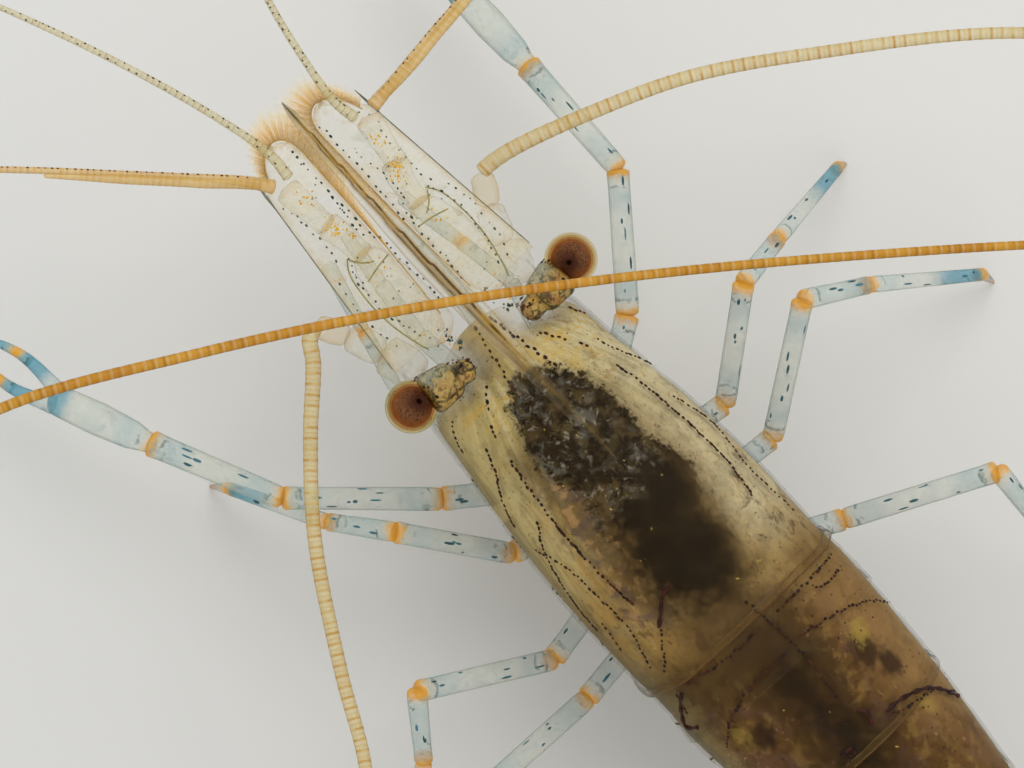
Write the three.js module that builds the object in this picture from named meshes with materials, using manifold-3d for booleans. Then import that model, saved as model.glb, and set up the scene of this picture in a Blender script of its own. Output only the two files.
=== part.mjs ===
// A rockpool prawn (Palaemon elegans), life size, standing on its six walking legs.
// Millimetres. +X runs to the head, +Y to the animal's left, +Z up, and the floor is z = 0.
// Places are given from the point of the back midway between the eyes; the finished group is
// then moved so that its origin is under the middle of the whole animal.

import * as THREE from 'three';
import { mergeVertices } from 'three/addons/utils/BufferGeometryUtils.js';
import Module from 'manifold-3d';

const wasm = await Module();
wasm.setup();

// ---------------------------------------------------------------- driving dimensions

const CARAPACE_FRONT = -0.9;        // lower front edge, under the eyes
const CARAPACE_REAR = -15.1;
const ORBIT = { x: -1.35, z: 12.5, radius: 1.12 };
const TRUNK_HALF_WIDTH = 4.45;
const BACK_HEIGHT = 14.4;
const BELLY_HEIGHT = 5.45;
const WIDEST_HEIGHT = 9.3;

const ROSTRUM_TIP = 9.85;
const ROSTRUM_THICKNESS = 0.5;
const ROSTRUM_TEETH = 6;            // teeth ahead of the orbit
const KEEL_TEETH = 3;               // teeth on the carapace, behind the orbit

const EYE_RADIUS = 0.98;
const EYE = { x: -1.3, y: 3.97, z: 12.5 };

const PLATE = 0.5;                  // thickness of the thin plates
const SEAM = 0.04;                  // gap between neighbouring pieces
const FEELER_RADIUS = 0.25;         // thinnest feeler

// dorsal length, half width, depth, and how far each piece points down (degrees)
const ABDOMEN = [
  { length: 2.0, halfWidth: 4.42, depth: 8.2, droop: -1 },
  { length: 4.2, halfWidth: 4.44, depth: 9.0, droop: 2 },
  { length: 5.2, halfWidth: 4.18, depth: 8.6, droop: 11 },
  { length: 3.6, halfWidth: 3.62, depth: 7.2, droop: 19 },
  { length: 3.2, halfWidth: 3.08, depth: 6.0, droop: 23 },
  { length: 5.4, halfWidth: 2.5, depth: 4.8, droop: 22 },
];
const TAIL_ROOT = { halfWidth: 1.85, depth: 3.5 };
const TELSON = { length: 7.0, halfWidth: 1.15, depth: 1.5, tip: 0.35, droop: 18 };

// ---------------------------------------------------------------- materials

const material = (color, roughness = 0.35) =>
  new THREE.MeshStandardMaterial({ color, roughness, metalness: 0 });

const shell = material(0xa8946c, 0.3);
const clear = material(0xd8d3bd, 0.25);
const flesh = material(0xc2b48e, 0.5);
const eyeSkin = material(0x6d4a3a, 0.2);
const feeler = material(0xd9a441, 0.45);
const legSkin = material(0xb9c8cc, 0.35);
const clawSkin = material(0x9fb9c2, 0.35);

// ---------------------------------------------------------------- solids and meshes

const prawn = new THREE.Group();
const left = 1;
const right = -1;
const sides = [['left', left], ['right', right]];

function bare(geometry) {
  const copy = geometry.clone();
  copy.deleteAttribute('normal');
  copy.deleteAttribute('uv');
  return mergeVertices(copy, 1e-5);
}

// Triangles are reversed where a shape has come out inside out, as a mirrored one does.
function outward(geometry) {
  const merged = bare(geometry);
  const spots = merged.attributes.position;
  const index = merged.index.array;
  const corner = [new THREE.Vector3(), new THREE.Vector3(), new THREE.Vector3()];
  let volume = 0;
  for (let i = 0; i < index.length; i += 3) {
    corner.forEach((point, k) => point.fromBufferAttribute(spots, index[i + k]));
    volume += corner[0].dot(corner[1].cross(corner[2]));
  }
  for (let i = 0; volume < 0 && i < index.length; i += 3) {
    [index[i], index[i + 1]] = [index[i + 1], index[i]];
  }
  return merged;
}

function toSolid(geometry) {
  const merged = outward(geometry);
  return new wasm.Manifold(new wasm.Mesh({
    numProp: 3,
    vertProperties: new Float32Array(merged.attributes.position.array),
    triVerts: new Uint32Array(merged.index.array),
  }));
}

function toGeometry(solid) {
  const mesh = solid.getMesh();
  const geometry = new THREE.BufferGeometry();
  geometry.setAttribute('position', new THREE.BufferAttribute(mesh.vertProperties, 3));
  geometry.setIndex(new THREE.BufferAttribute(mesh.triVerts, 1));
  return geometry;
}

function add(name, geometry, look) {
  const mesh = new THREE.Mesh(outward(geometry), look);
  mesh.name = name;
  prawn.add(mesh);
}

const mirrored = (geometry) => geometry.clone().scale(1, -1, 1);

// ---------------------------------------------------------------- shared shapes

// A closed cylinder whose rings are placed by place(along 0..1, angle, target).
function shaped(around, rings, place) {
  const geometry = bare(new THREE.CylinderGeometry(1, 1, 1, around, rings));
  const spots = geometry.attributes.position;
  const target = new THREE.Vector3();
  for (let i = 0; i < spots.count; i += 1) {
    const reach = Math.hypot(spots.getX(i), spots.getZ(i));
    const angle = Math.atan2(spots.getX(i), spots.getZ(i));
    place(0.5 - spots.getY(i), angle, target, reach);
    spots.setXYZ(i, target.x, target.y, target.z);
  }
  return geometry;
}

// A tapering tube along a curve; flatten makes its section an ellipse.
function tube(curve, radiusAt, { around = 8, rings = 20, from = 0, to = 1, flatten = 1 } = {}) {
  const up = new THREE.Vector3(0, 0, 1);
  const side = new THREE.Vector3();
  const lift = new THREE.Vector3();
  return shaped(around, rings, (along, angle, target, reach) => {
    const u = THREE.MathUtils.lerp(from, to, along);
    const tangent = curve.getTangentAt(u);
    side.crossVectors(up, tangent);
    if (side.length() < 0.05) side.set(0, 1, 0);
    side.normalize();
    lift.crossVectors(tangent, side);
    const radius = radiusAt(u) * (reach > 0.5 ? 1 : 0);
    target.copy(curve.getPointAt(u))
      .addScaledVector(side, -radius * Math.sin(angle))
      .addScaledVector(lift, radius * flatten * Math.cos(angle));
  });
}

const vectors = (points) => points.map(([x, y, z]) => new THREE.Vector3(x, y, z));
const smooth = (points) => new THREE.CatmullRomCurve3(vectors(points), false, 'centripetal');

// Straight lengths joined by short round bends, as a jointed limb is.
function jointed(points, bend = 0.45) {
  const corners = vectors(points);
  const path = new THREE.CurvePath();
  let start = corners[0];
  for (let i = 1; i < corners.length - 1; i += 1) {
    const before = corners[i].clone().sub(corners[i - 1]).setLength(bend);
    const after = corners[i + 1].clone().sub(corners[i]).setLength(bend);
    const entry = corners[i].clone().sub(before);
    const exit = corners[i].clone().add(after);
    path.add(new THREE.LineCurve3(start, entry));
    path.add(new THREE.QuadraticBezierCurve3(entry, corners[i], exit));
    start = exit;
  }
  path.add(new THREE.LineCurve3(start, corners[corners.length - 1]));
  return path;
}

// Linear value through [place, value] pairs.
function ramp(pairs, at) {
  let i = 1;
  while (i < pairs.length - 1 && at > pairs[i][0]) i += 1;
  const [a, b] = [pairs[i - 1], pairs[i]];
  const t = THREE.MathUtils.clamp((at - a[0]) / (b[0] - a[0]), 0, 1);
  return THREE.MathUtils.lerp(a[1], b[1], t);
}

const squared = (value, power) => Math.sign(value) * Math.abs(value) ** power;

// ---------------------------------------------------------------- carapace and thorax

const carapaceHalfWidth = (x) => ramp(
  [[0.9, 3.25], [2.5, 3.6], [4.5, 3.78], [6, 4.0], [8.5, 4.28], [11, TRUNK_HALF_WIDTH], [15.2, 4.42]], -x);
const carapaceTop = (x) => ramp([[0.9, 13.2], [3, 13.45], [6, 13.9], [10, 14.3], [15.2, BACK_HEIGHT]], -x);
const carapaceBelly = (x) => ramp(
  [[0.9, 8.4], [2.2, 7.2], [3.6, 6.4], [5.2, 5.75], [7, BELLY_HEIGHT], [13, BELLY_HEIGHT], [15.2, 5.7]], -x);

function trunkPoint(x, angle, reach, target) {
  const up = Math.sin(angle);
  const out = Math.cos(angle);
  const top = carapaceTop(x) - WIDEST_HEIGHT;
  const belly = WIDEST_HEIGHT - carapaceBelly(x);
  const z = up > 0 ? top * squared(up, 0.92) : belly * squared(up, 0.7);
  const y = carapaceHalfWidth(x) * squared(out, up > 0 ? 0.95 : 0.72);
  target.set(x, y * reach, WIDEST_HEIGHT + z * reach);
}

function keelTeeth() {
  const keel = new THREE.Shape();
  keel.moveTo(-7.6, 13.5);
  keel.lineTo(-7.6, 14.05);
  for (let i = 0; i < KEEL_TEETH; i += 1) {
    const x = -6.6 + i * 1.45;
    keel.lineTo(x - 0.75, 14.1 - 0.06 * i);
    keel.lineTo(x + 0.35, 14.5 - 0.06 * i);
    keel.lineTo(x + 0.4, 14.0 - 0.06 * i);
  }
  keel.lineTo(-2.5, 13.8);
  keel.lineTo(-2.5, 13.0);
  const blade = new THREE.ExtrudeGeometry(keel, { depth: ROSTRUM_THICKNESS, bevelEnabled: false });
  blade.rotateX(Math.PI / 2);
  blade.translate(0, ROSTRUM_THICKNESS / 2, 0);
  return blade;
}

function carapace() {
  const body = shaped(22, 11, (along, angle, target, reach) => {
    const x = THREE.MathUtils.lerp(CARAPACE_FRONT, CARAPACE_REAR, along);
    trunkPoint(x, angle, reach > 0.5 ? 1 : 0, target);
  });
  let solid = toSolid(body).add(toSolid(keelTeeth()));
  for (const [, side] of sides) {
    const socket = new THREE.CylinderGeometry(ORBIT.radius, ORBIT.radius, 6, 16);
    socket.translate(ORBIT.x, 0.62 * side + 3 * side, ORBIT.z);
    const opening = new THREE.BoxGeometry(2, 6, 3);
    opening.translate(ORBIT.x + 1, 0.62 * side + 3 * side, ORBIT.z + 0.4);
    solid = solid.subtract(toSolid(socket)).subtract(toSolid(opening));
  }
  return toGeometry(solid);
}

function thoraxUnderside() {
  return shaped(8, 8, (along, angle, target, reach) => {
    const x = THREE.MathUtils.lerp(-1.2, -14.6, along);
    const top = carapaceBelly(x) - 3 * SEAM;
    const depth = ramp([[1.2, 0.7], [3, 1.1], [6, 1.0], [14.6, 0.7]], -x);
    const half = ramp([[1.2, 0.9], [4, 1.35], [14.6, 1.5]], -x);
    const size = reach > 0.5 ? 1 : 0;
    target.set(x, half * squared(Math.cos(angle), 0.5) * size,
      top - depth / 2 + (depth / 2) * squared(Math.sin(angle), 0.5) * size);
  });
}

add('carapace', carapace(), shell);
add('thorax_underside', thoraxUnderside(), flesh);

// ---------------------------------------------------------------- rostrum

function rostrum() {
  const root = CARAPACE_FRONT + SEAM;
  const blade = new THREE.Shape();
  blade.moveTo(root, 12.25);
  blade.lineTo(root, 13.6);
  const span = ROSTRUM_TIP - 1.2 - root;
  for (let i = 0; i < ROSTRUM_TEETH; i += 1) {
    const x = root + (span * (i + 0.5)) / ROSTRUM_TEETH;
    const back = 13.65 + 0.045 * (x - root);
    blade.lineTo(x - 0.45, back);
    blade.lineTo(x + 0.3, back + 0.42);
    blade.lineTo(x + 0.36, back + 0.04);
  }
  blade.lineTo(ROSTRUM_TIP, 14.3);
  blade.lineTo(ROSTRUM_TIP - 0.05, 14.05);
  blade.lineTo(ROSTRUM_TIP - 1.3, 13.75);
  for (const x of [6.6, 4.9, 3.1]) {
    const belly = 13.45 - 0.09 * (6.6 - x) ** 1.4;
    blade.lineTo(x + 0.7, belly);
    blade.lineTo(x + 0.45, belly - 0.35);
    blade.lineTo(x - 0.3, belly - 0.1);
  }
  blade.lineTo(1.2, 12.35);
  const flat = new THREE.ExtrudeGeometry(blade, { depth: ROSTRUM_THICKNESS, bevelEnabled: false });
  flat.rotateX(Math.PI / 2);
  flat.translate(0, ROSTRUM_THICKNESS / 2, 0);
  const ridge = shaped(8, 8, (along, angle, target, reach) => {
    const x = THREE.MathUtils.lerp(root, ROSTRUM_TIP - 1.5, along);
    const size = reach > 0.5 ? 1 : 0;
    const half = THREE.MathUtils.lerp(0.52, 0.27, along);
    target.set(x, half * Math.cos(angle) * size,
      13.05 + 0.85 * along ** 1.5 + 0.28 * Math.sin(angle) * size);
  });
  return toGeometry(toSolid(flat).add(toSolid(ridge)));
}

add('rostrum', rostrum(), clear);

// ---------------------------------------------------------------- eyes

for (const [name, side] of sides) {
  const ball = new THREE.SphereGeometry(EYE_RADIUS, 12, 9);
  ball.rotateX(Math.PI / 2 * side);
  ball.translate(EYE.x, EYE.y * side, EYE.z);
  const socket = new THREE.SphereGeometry(EYE_RADIUS + SEAM, 10, 8);
  socket.translate(EYE.x, EYE.y * side, EYE.z);
  const stalkPath = smooth([
    [-1.55, 0.78 * side, 12.45], [-1.5, 1.9 * side, 12.45], [-1.34, 3.5 * side, 12.5],
  ]);
  const stalk = tube(stalkPath, (u) => ramp([[0, 0.45], [0.1, 0.66], [0.55, 0.72], [1, 0.8]], u),
    { around: 8, rings: 5 });
  add(`eye_${name}`, ball, eyeSkin);
  add(`eye_stalk_${name}`, toGeometry(toSolid(stalk).subtract(toSolid(socket))), flesh);
}

// ---------------------------------------------------------------- antennal scales

function antennalScale() {
  const outline = new THREE.Shape();
  outline.moveTo(-0.35, 1.5);
  outline.lineTo(0.5, 0.75);
  outline.lineTo(8.4, 0.46);
  outline.bezierCurveTo(9.0, 0.5, 9.35, 0.9, 9.2, 1.3);
  outline.bezierCurveTo(9.0, 1.9, 8.3, 2.1, 7.95, 2.22);
  outline.lineTo(8.5, 2.44);
  outline.lineTo(7.9, 2.6);
  outline.lineTo(0.4, 3.5);
  outline.lineTo(-0.35, 3.3);
  const plate = new THREE.ExtrudeGeometry(outline, { depth: PLATE, bevelEnabled: false, curveSegments: 5 });
  const spots = plate.attributes.position;
  for (let i = 0; i < spots.count; i += 1) {
    spots.setZ(i, spots.getZ(i) + 10.35 + 0.045 * spots.getX(i));
  }
  return plate;
}

add('antennal_scale_left', antennalScale(), clear);
add('antennal_scale_right', mirrored(antennalScale()), clear);

// ---------------------------------------------------------------- antennules

const ANTENNULE_END = { left: [7.7, 1.86, 11.85], right: [7.6, -2.16, 11.85] };
const FLAGELLA = {
  left: {
    inner: [
      [7.8, 1.5, 12.0], [8.9, 1.45, 12.1], [11.2, 2.0, 12.4], [14.9, 3.25, 12.7],
      [19.3, 5.1, 13.0], [24.2, 7.6, 13.6],
    ],
    outer: [
      [7.9, 2.1, 12.0], [8.9, 2.85, 12.05], [12.2, 6.1, 12.2], [15.0, 9.0, 12.4],
      [20.3, 15.0, 12.8], [24.5, 21.5, 13.6],
    ],
  },
  right: {
    inner: [
      [7.75, -1.8, 12.0], [8.8, -1.62, 12.1], [10.6, -1.8, 12.4], [13.1, -2.3, 12.6],
      [18.3, -3.9, 13.0], [24.0, -7.2, 13.6],
    ],
    outer: [
      [7.7, -2.5, 12.0], [7.8, -3.3, 12.1], [8.2, -5.8, 12.4], [8.4, -7.5, 12.6],
      [9.6, -14.4, 13.0], [12.8, -22.6, 13.8],
    ],
  },
};
const BRANCH = { start: 0.4, length: 8.4, offset: 0.2 };    // short branch, fused to the outer flagellum

// The short branch lies along the outer flagellum, on the side away from the midline.
function shortBranch(curve) {
  const total = curve.getLength();
  const spots = [0, 0.3, 0.65, 1].map((share) => {
    const u = (BRANCH.start + share * (BRANCH.length - BRANCH.start)) / total;
    const outward = new THREE.Vector3(0, 0, -1).cross(curve.getTangentAt(u)).normalize();
    const side = Math.sign(curve.getPointAt(0).y);
    return curve.getPointAt(u).addScaledVector(outward, -BRANCH.offset * side);
  });
  return new THREE.CatmullRomCurve3(spots, false, 'centripetal');
}

// The stalk's first joint is broad and flat; the second and third are round and narrower.
function antennuleStalk(side, end) {
  const broad = smooth([[-0.35, 1.25 * side, 11.72], [1.4, 1.42 * side, 11.75], [4.2, 1.38 * side, 11.8]]);
  const broadSize = (u) => ramp([[0, 0.5], [0.2, 0.85], [0.4, 0.96], [0.75, 0.85], [1, 0.6]], u);
  const narrow = smooth([[3.95, 1.4 * side, 11.85], [5.75, (1.5 * side + end[1]) / 2, 11.85], end]);
  const narrowSize = (u) => ramp([[0, 0.42], [0.45, 0.5], [0.52, 0.42], [0.6, 0.46], [1, 0.46]], u);
  const base = toSolid(tube(broad, broadSize, { around: 8, rings: 5, flatten: 0.42 }));
  const tip = toSolid(tube(narrow, narrowSize, { around: 8, rings: 5, flatten: 0.92 }));
  return toGeometry(base.add(tip));
}

for (const [name, side] of sides) {
  add(`antennule_peduncle_${name}`, antennuleStalk(side, ANTENNULE_END[name]), clear);
  const lashes = FLAGELLA[name];
  const taper = (root) => (u) => THREE.MathUtils.lerp(root, FEELER_RADIUS, Math.min(1, u * 2));
  const inner = tube(smooth(lashes.inner), taper(0.27), { around: 6, rings: 10 });
  add(`antennule_inner_flagellum_${name}`, inner, feeler);
  const outer = tube(smooth(lashes.outer), taper(0.3), { around: 6, rings: 12 });
  const branch = tube(shortBranch(smooth(lashes.outer)), () => FEELER_RADIUS, { around: 6, rings: 5 });
  add(`antennule_outer_flagellum_${name}`, toGeometry(toSolid(outer).add(toSolid(branch))), feeler);
}

// ---------------------------------------------------------------- antennae

const WHIP_ROOT = { left: [3.3, 4.25, 9.9], right: [3.35, -4.15, 9.9] };
const WHIP = {
  left: {
    lengths: 5,
    route: [
      [3.1, 4.72, 9.9], [2.4, 5.2, 9.9], [0.4, 7.2, 9.9], [-2.4, 9.6, 10.0], [-6.6, 12.2, 10.0],
      [-9.7, 13.9, 10.2], [-12.0, 15.9, 10.8], [-12.9, 18.9, 11.6], [-11.8, 22.2, 12.5], [-8.6, 25.0, 13.5],
      [-4.2, 26.9, 14.4], [0.6, 27.2, 15.3], [4.9, 25.7, 16.3], [8.0, 22.5, 17.3], [8.9, 18.9, 18.1],
      [8.2, 15.2, 18.5], [5.0, 8.8, 18.1], [1.2, 2.3, 17.7], [-2.1, -2.7, 17.3], [-5.8, -7.8, 16.9],
      [-10.4, -13.7, 16.6], [-13.4, -17.4, 16.3],
    ],
  },
  right: {
    lengths: 3,
    route: [
      [3.35, -4.62, 10.0], [3.2, -5.5, 10.3], [2.3, -8.2, 10.9], [0.7, -12.0, 11.5], [-1.8, -15.9, 12.1],
      [-6.5, -22.0, 13.0], [-13.0, -27.4, 13.6], [-21.5, -30.6, 13.8], [-31.0, -30.4, 13.2],
      [-40.0, -27.0, 12.2], [-48.0, -21.2, 11.0],
    ],
  },
};

for (const [name, side] of sides) {
  const stemPath = smooth([
    [-0.75, 2.55 * side, 9.35], [0.9, 3.0 * side, 9.45], [2.2, 3.55 * side, 9.6], WHIP_ROOT[name],
  ]);
  const stemSizes = [[0, 0.6], [0.12, 0.78], [0.4, 0.66], [0.5, 0.52], [0.56, 0.58], [1, 0.4]];
  const stemThickness = (u) => ramp(stemSizes, u);
  add(`antenna_peduncle_${name}`, tube(stemPath, stemThickness, { around: 8, rings: 10 }), legSkin);
  const { route, lengths } = WHIP[name];
  const whip = smooth(route);
  whip.arcLengthDivisions = 600;
  const length = whip.getLength();
  const cut = SEAM / length;
  const thickness = (u) => ramp([[0, 0.33], [0.12, 0.27], [0.3, FEELER_RADIUS], [1, FEELER_RADIUS]], u);
  for (let i = 0; i < lengths; i += 1) {
    const from = i / lengths + (i > 0 ? cut / 2 : 0);
    const to = (i + 1) / lengths - cut / 2;
    const piece = tube(whip, thickness, { around: 6, rings: 9, from, to });
    add(`antenna_${name}_${i + 1}`, piece, feeler);
  }
}

// ---------------------------------------------------------------- legs and mouthparts

// Each leg runs body, end of ischium, knee, wrist, end of propodus, tip.
const WALKING_LEGS = {
  right_3: [
    [-8.5, -1.66, 4.8], [-8.9, -3.4, 4.75], [-9.25, -5.85, 4.95], [-6.3, -9.0, 7.9],
    [-6.0, -11.5, 6.2], [-5.65, -16.1, 1.8], [-5.8, -16.9, -0.2],
  ],
  left_3: [
    [-8.5, 1.66, 4.8], [-8.3, 2.8, 4.75], [-7.85, 4.1, 4.95], [-4.2, 7.05, 7.4],
    [-2.2, 8.5, 5.8], [1.35, 10.05, 1.8], [1.95, 10.4, -0.2],
  ],
  right_4: [
    [-10.9, -1.66, 4.8], [-11.2, -3.4, 4.75], [-11.45, -6.3, 4.9], [-8.3, -10.2, 7.9],
    [-9.7, -12.9, 6.0], [-12.6, -17.4, 1.8], [-13.3, -18.0, -0.2],
  ],
  left_4: [
    [-10.9, 1.66, 4.8], [-11.4, 3.2, 4.75], [-11.85, 5.7, 4.95], [-9.1, 10.5, 7.7],
    [-11.3, 12.0, 6.0], [-14.6, 16.2, 1.9], [-15.2, 17.0, -0.2],
  ],
  right_5: [
    [-13.2, -1.66, 4.85], [-14.2, -3.4, 4.75], [-15.6, -6.2, 5.0], [-18.1, -11.3, 7.5],
    [-20.9, -11.4, 6.0], [-26.0, -15.0, 1.9], [-26.9, -15.6, -0.2],
  ],
  left_5: [
    [-13.2, 1.66, 4.85], [-13.5, 3.2, 4.75], [-13.8, 5.8, 5.0], [-13.5, 11.2, 7.3],
    [-16.2, 13.0, 5.9], [-22.2, 16.6, 1.9], [-23.1, 17.2, -0.2],
  ],
};

const floorBlock = new THREE.BoxGeometry(200, 200, 10);
floorBlock.translate(0, 0, -5);
const floorSolid = toSolid(floorBlock);

for (const [name, joints] of Object.entries(WALKING_LEGS)) {
  const path = jointed(joints);
  const sizes = [[0, 0.5], [0.3, 0.44], [0.55, 0.42], [0.68, 0.36], [0.93, 0.27], [1, 0.25]];
  const thickness = (u) => ramp(sizes, u);
  const leg = tube(path, thickness, { around: 6, rings: 16 });
  add(`leg_${name}`, toGeometry(toSolid(leg).subtract(floorSolid)), legSkin);
}

const CLAW_LEGS = {
  right: {
    arm: [[-6.4, -1.66, 4.85], [-5.6, -3.3, 4.8], [-4.2, -5.4, 5.2], [0.1, -8.8, 6.0], [5.45, -9.15, 5.0]],
    hand: [[5.55, -9.16, 5.0], [9.8, -9.35, 4.2]],
    fingers: [[13.2, -9.0, 3.6], [13.25, -9.75, 3.55]],
  },
  left: {
    arm: [[-6.4, 1.66, 4.85], [-5.8, 2.9, 4.8], [-4.5, 4.7, 5.2], [-0.4, 9.15, 6.0], [4.55, 11.3, 5.0]],
    hand: [[4.65, 11.35, 5.0], [8.4, 12.8, 4.2]],
    fingers: [[12.1, 13.0, 3.6], [11.75, 13.95, 3.55]],
  },
};

function claw({ hand, fingers }) {
  const [wrist, knuckle] = vectors(hand);
  const palm = tube(new THREE.LineCurve3(wrist, knuckle),
    (u) => ramp([[0, 0.4], [0.25, 0.62], [0.7, 0.64], [1, 0.5]], u), { around: 8, rings: 5, flatten: 0.85 });
  let solid = toSolid(palm);
  const forward = knuckle.clone().sub(wrist).normalize();
  const across = new THREE.Vector3(0, 0, 1).cross(forward).normalize();
  const tips = vectors(fingers);
  for (const tip of tips) {
    const outward = Math.sign(tip.clone().sub(knuckle).dot(across)
      - tips[0].clone().add(tips[1]).multiplyScalar(0.5).sub(knuckle).dot(across));
    const root = knuckle.clone().addScaledVector(forward, -0.35).addScaledVector(across, 0.27 * outward);
    const middle = root.clone().lerp(tip, 0.5).addScaledVector(across, 0.22 * outward);
    const finger = tube(new THREE.QuadraticBezierCurve3(root, middle, tip),
      (u) => ramp([[0, 0.36], [0.7, 0.28], [1, 0.25]], u), { around: 6, rings: 4 });
    solid = solid.add(toSolid(finger));
  }
  return toGeometry(solid);
}

for (const [name, side] of sides) {
  const parts = CLAW_LEGS[name];
  const armThickness = (u) => ramp([[0, 0.5], [0.35, 0.46], [0.6, 0.4], [0.7, 0.38], [1, 0.46]], u);
  add(`claw_leg_arm_${name}`, tube(jointed(parts.arm), armThickness, { around: 6, rings: 16 }), legSkin);
  add(`claw_leg_hand_${name}`, claw(parts), clawSkin);
  const first = jointed([
    [-4.6, 1.5 * side, 4.9], [-3.4, 2.3 * side, 4.6], [-0.2, 3.0 * side, 4.9], [2.2, 2.5 * side, 5.6],
    [4.9, 1.9 * side, 6.4],
  ], 0.4);
  add(`first_leg_${name}`, tube(first, (u) => ramp([[0, 0.4], [0.7, 0.28], [0.8, 0.36], [1, 0.25]], u),
    { around: 6, rings: 14 }), legSkin);
  const maxilliped = jointed([
    [-2.6, 0.75 * side, 5.4], [0.6, 1.1 * side, 5.6], [3.0, 1.0 * side, 6.9], [5.2, 0.85 * side, 8.0],
  ], 0.4);
  add(`third_maxilliped_${name}`, tube(maxilliped, (u) => ramp([[0, 0.42], [0.5, 0.36], [1, 0.26]], u),
    { around: 6, rings: 10 }), flesh);
}

// ---------------------------------------------------------------- abdomen

// Stations of the back line: where each piece starts, and which way it points.
const stations = [{ x: CARAPACE_REAR - SEAM, z: BACK_HEIGHT }];
for (const piece of [...ABDOMEN, TELSON]) {
  const last = stations[stations.length - 1];
  const slope = THREE.MathUtils.degToRad(piece.droop);
  stations.push({ x: last.x - piece.length * Math.cos(slope), z: last.z - piece.length * Math.sin(slope) });
}

const droopAt = (i) => {
  const all = [...ABDOMEN, TELSON];
  const before = all[Math.max(0, i - 1)].droop;
  const after = all[Math.min(all.length - 1, i)].droop;
  return THREE.MathUtils.degToRad(i === 0 ? 0 : (before + after) / 2);
};

function abdomenPiece(i) {
  const piece = ABDOMEN[i];
  const next = ABDOMEN[i + 1] ?? TAIL_ROOT;
  const [start, end] = [stations[i], stations[i + 1]];
  return shaped(18, 5, (along, angle, target, reach) => {
    const tilt = THREE.MathUtils.lerp(droopAt(i), droopAt(i + 1), along);
    const gap = (i > 0 ? SEAM / 2 : 0) * (1 - along) - (SEAM / 2) * along;
    const half = THREE.MathUtils.lerp(piece.halfWidth, next.halfWidth, along ** 1.3);
    const depth = THREE.MathUtils.lerp(piece.depth, next.depth, along ** 1.3);
    const flap = i < 5 ? 0.55 * (1 - (2 * along - 1) ** 2) : 0;
    const step = 0.14 * along ** 3;
    const up = Math.sin(angle);
    const size = reach > 0.5 ? 1 : 0;
    const y = (half + step) * squared(Math.cos(angle), up > 0 ? 0.9 : 0.62) * size;
    const upper = 0.52 * depth + step;
    const lower = 0.48 * depth - 0.4 + flap;
    const v = (up > 0 ? upper * squared(up, 0.9) : lower * squared(up, 0.62)) * size - 0.52 * depth;
    const x = THREE.MathUtils.lerp(start.x, end.x, along) - gap;
    const z = THREE.MathUtils.lerp(start.z, end.z, along);
    target.set(x + v * -Math.sin(tilt), y, z + v * Math.cos(tilt));
  });
}

ABDOMEN.forEach((piece, i) => add(`abdomen_${i + 1}`, abdomenPiece(i), shell));

// ---------------------------------------------------------------- swimmerets

for (let i = 0; i < 5; i += 1) {
  const middle = (stations[i].x + stations[i + 1].x) / 2;
  const belly = (stations[i].z + stations[i + 1].z) / 2 - ABDOMEN[i].depth * Math.cos(droopAt(i)) - 0.28;
  const lean = ABDOMEN[i].depth * Math.sin(droopAt(i));
  for (const [name, side] of sides) {
    const size = 1 - 0.09 * i;
    const path = smooth([
      [middle - lean + 0.4, 1.5 * side, belly - 0.35], [middle - lean - 0.4, 1.75 * side, belly - 1.5 * size],
      [middle - lean - 1.9, 1.85 * side, belly - 2.9 * size],
      [middle - lean - 3.2, 1.85 * side, belly - 3.3 * size]]);
    const blade = tube(path, (u) => ramp([[0, 0.45], [0.35, 0.55], [0.7, 0.6], [1, 0.3]], u) * size,
      { around: 6, rings: 4, flatten: 0.5 });
    add(`swimmeret_${name}_${i + 1}`, blade, clear);
  }
}

// ---------------------------------------------------------------- tail fan

const tail = stations[6];
const tailSlope = THREE.MathUtils.degToRad(TELSON.droop);

// Tail pieces are drawn level, pointing back from the tail root, then turned down together.
function placeOnTail(geometry) {
  geometry.rotateY(-tailSlope);
  geometry.translate(tail.x - 0.1, 0, tail.z - 1.0);
  return geometry;
}

function telson() {
  return placeOnTail(shaped(10, 6, (along, angle, target, reach) => {
    const size = reach > 0.5 ? 1 : 0;
    const half = THREE.MathUtils.lerp(TELSON.halfWidth, TELSON.tip, along);
    const thick = THREE.MathUtils.lerp(TELSON.depth, PLATE, along ** 0.8) / 2;
    target.set(-0.12 - along * TELSON.length, half * Math.cos(angle) * size,
      -0.05 + thick * (squared(Math.sin(angle), 0.9) * size) - 0.25 * along);
  }));
}

function uropod(length, width, splay, drop) {
  const outline = new THREE.Shape();
  outline.moveTo(0, -0.42);
  outline.bezierCurveTo(-length * 0.35, -width * 0.55, -length * 0.75, -width * 0.62,
    -length * 0.97, -width * 0.3);
  outline.bezierCurveTo(-length * 1.02, 0, -length, width * 0.3, -length * 0.93, width * 0.42);
  outline.bezierCurveTo(-length * 0.6, width * 0.55, -length * 0.25, width * 0.4, 0, 0.42);
  const plate = new THREE.ExtrudeGeometry(outline, { depth: PLATE, bevelEnabled: false, curveSegments: 6 });
  plate.rotateZ(-THREE.MathUtils.degToRad(splay));
  plate.translate(-0.35, 0, drop);
  return plate;
}

add('telson', telson(), shell);
const UROPODS = [
  { name: 'inner', length: 7.0, width: 2.3, splay: 7, root: 1.4, drop: -1.15 },
  { name: 'outer', length: 7.7, width: 2.9, splay: 19, root: 1.75, drop: -1.8 },
];
for (const { name, length, width, splay, root, drop } of UROPODS) {
  const plate = uropod(length, width, splay, drop);
  plate.translate(0, root, 0);
  add(`uropod_${name}_left`, placeOnTail(plate.clone()), clear);
  add(`uropod_${name}_right`, placeOnTail(mirrored(plate)), clear);
}

// ---------------------------------------------------------------- origin

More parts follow.
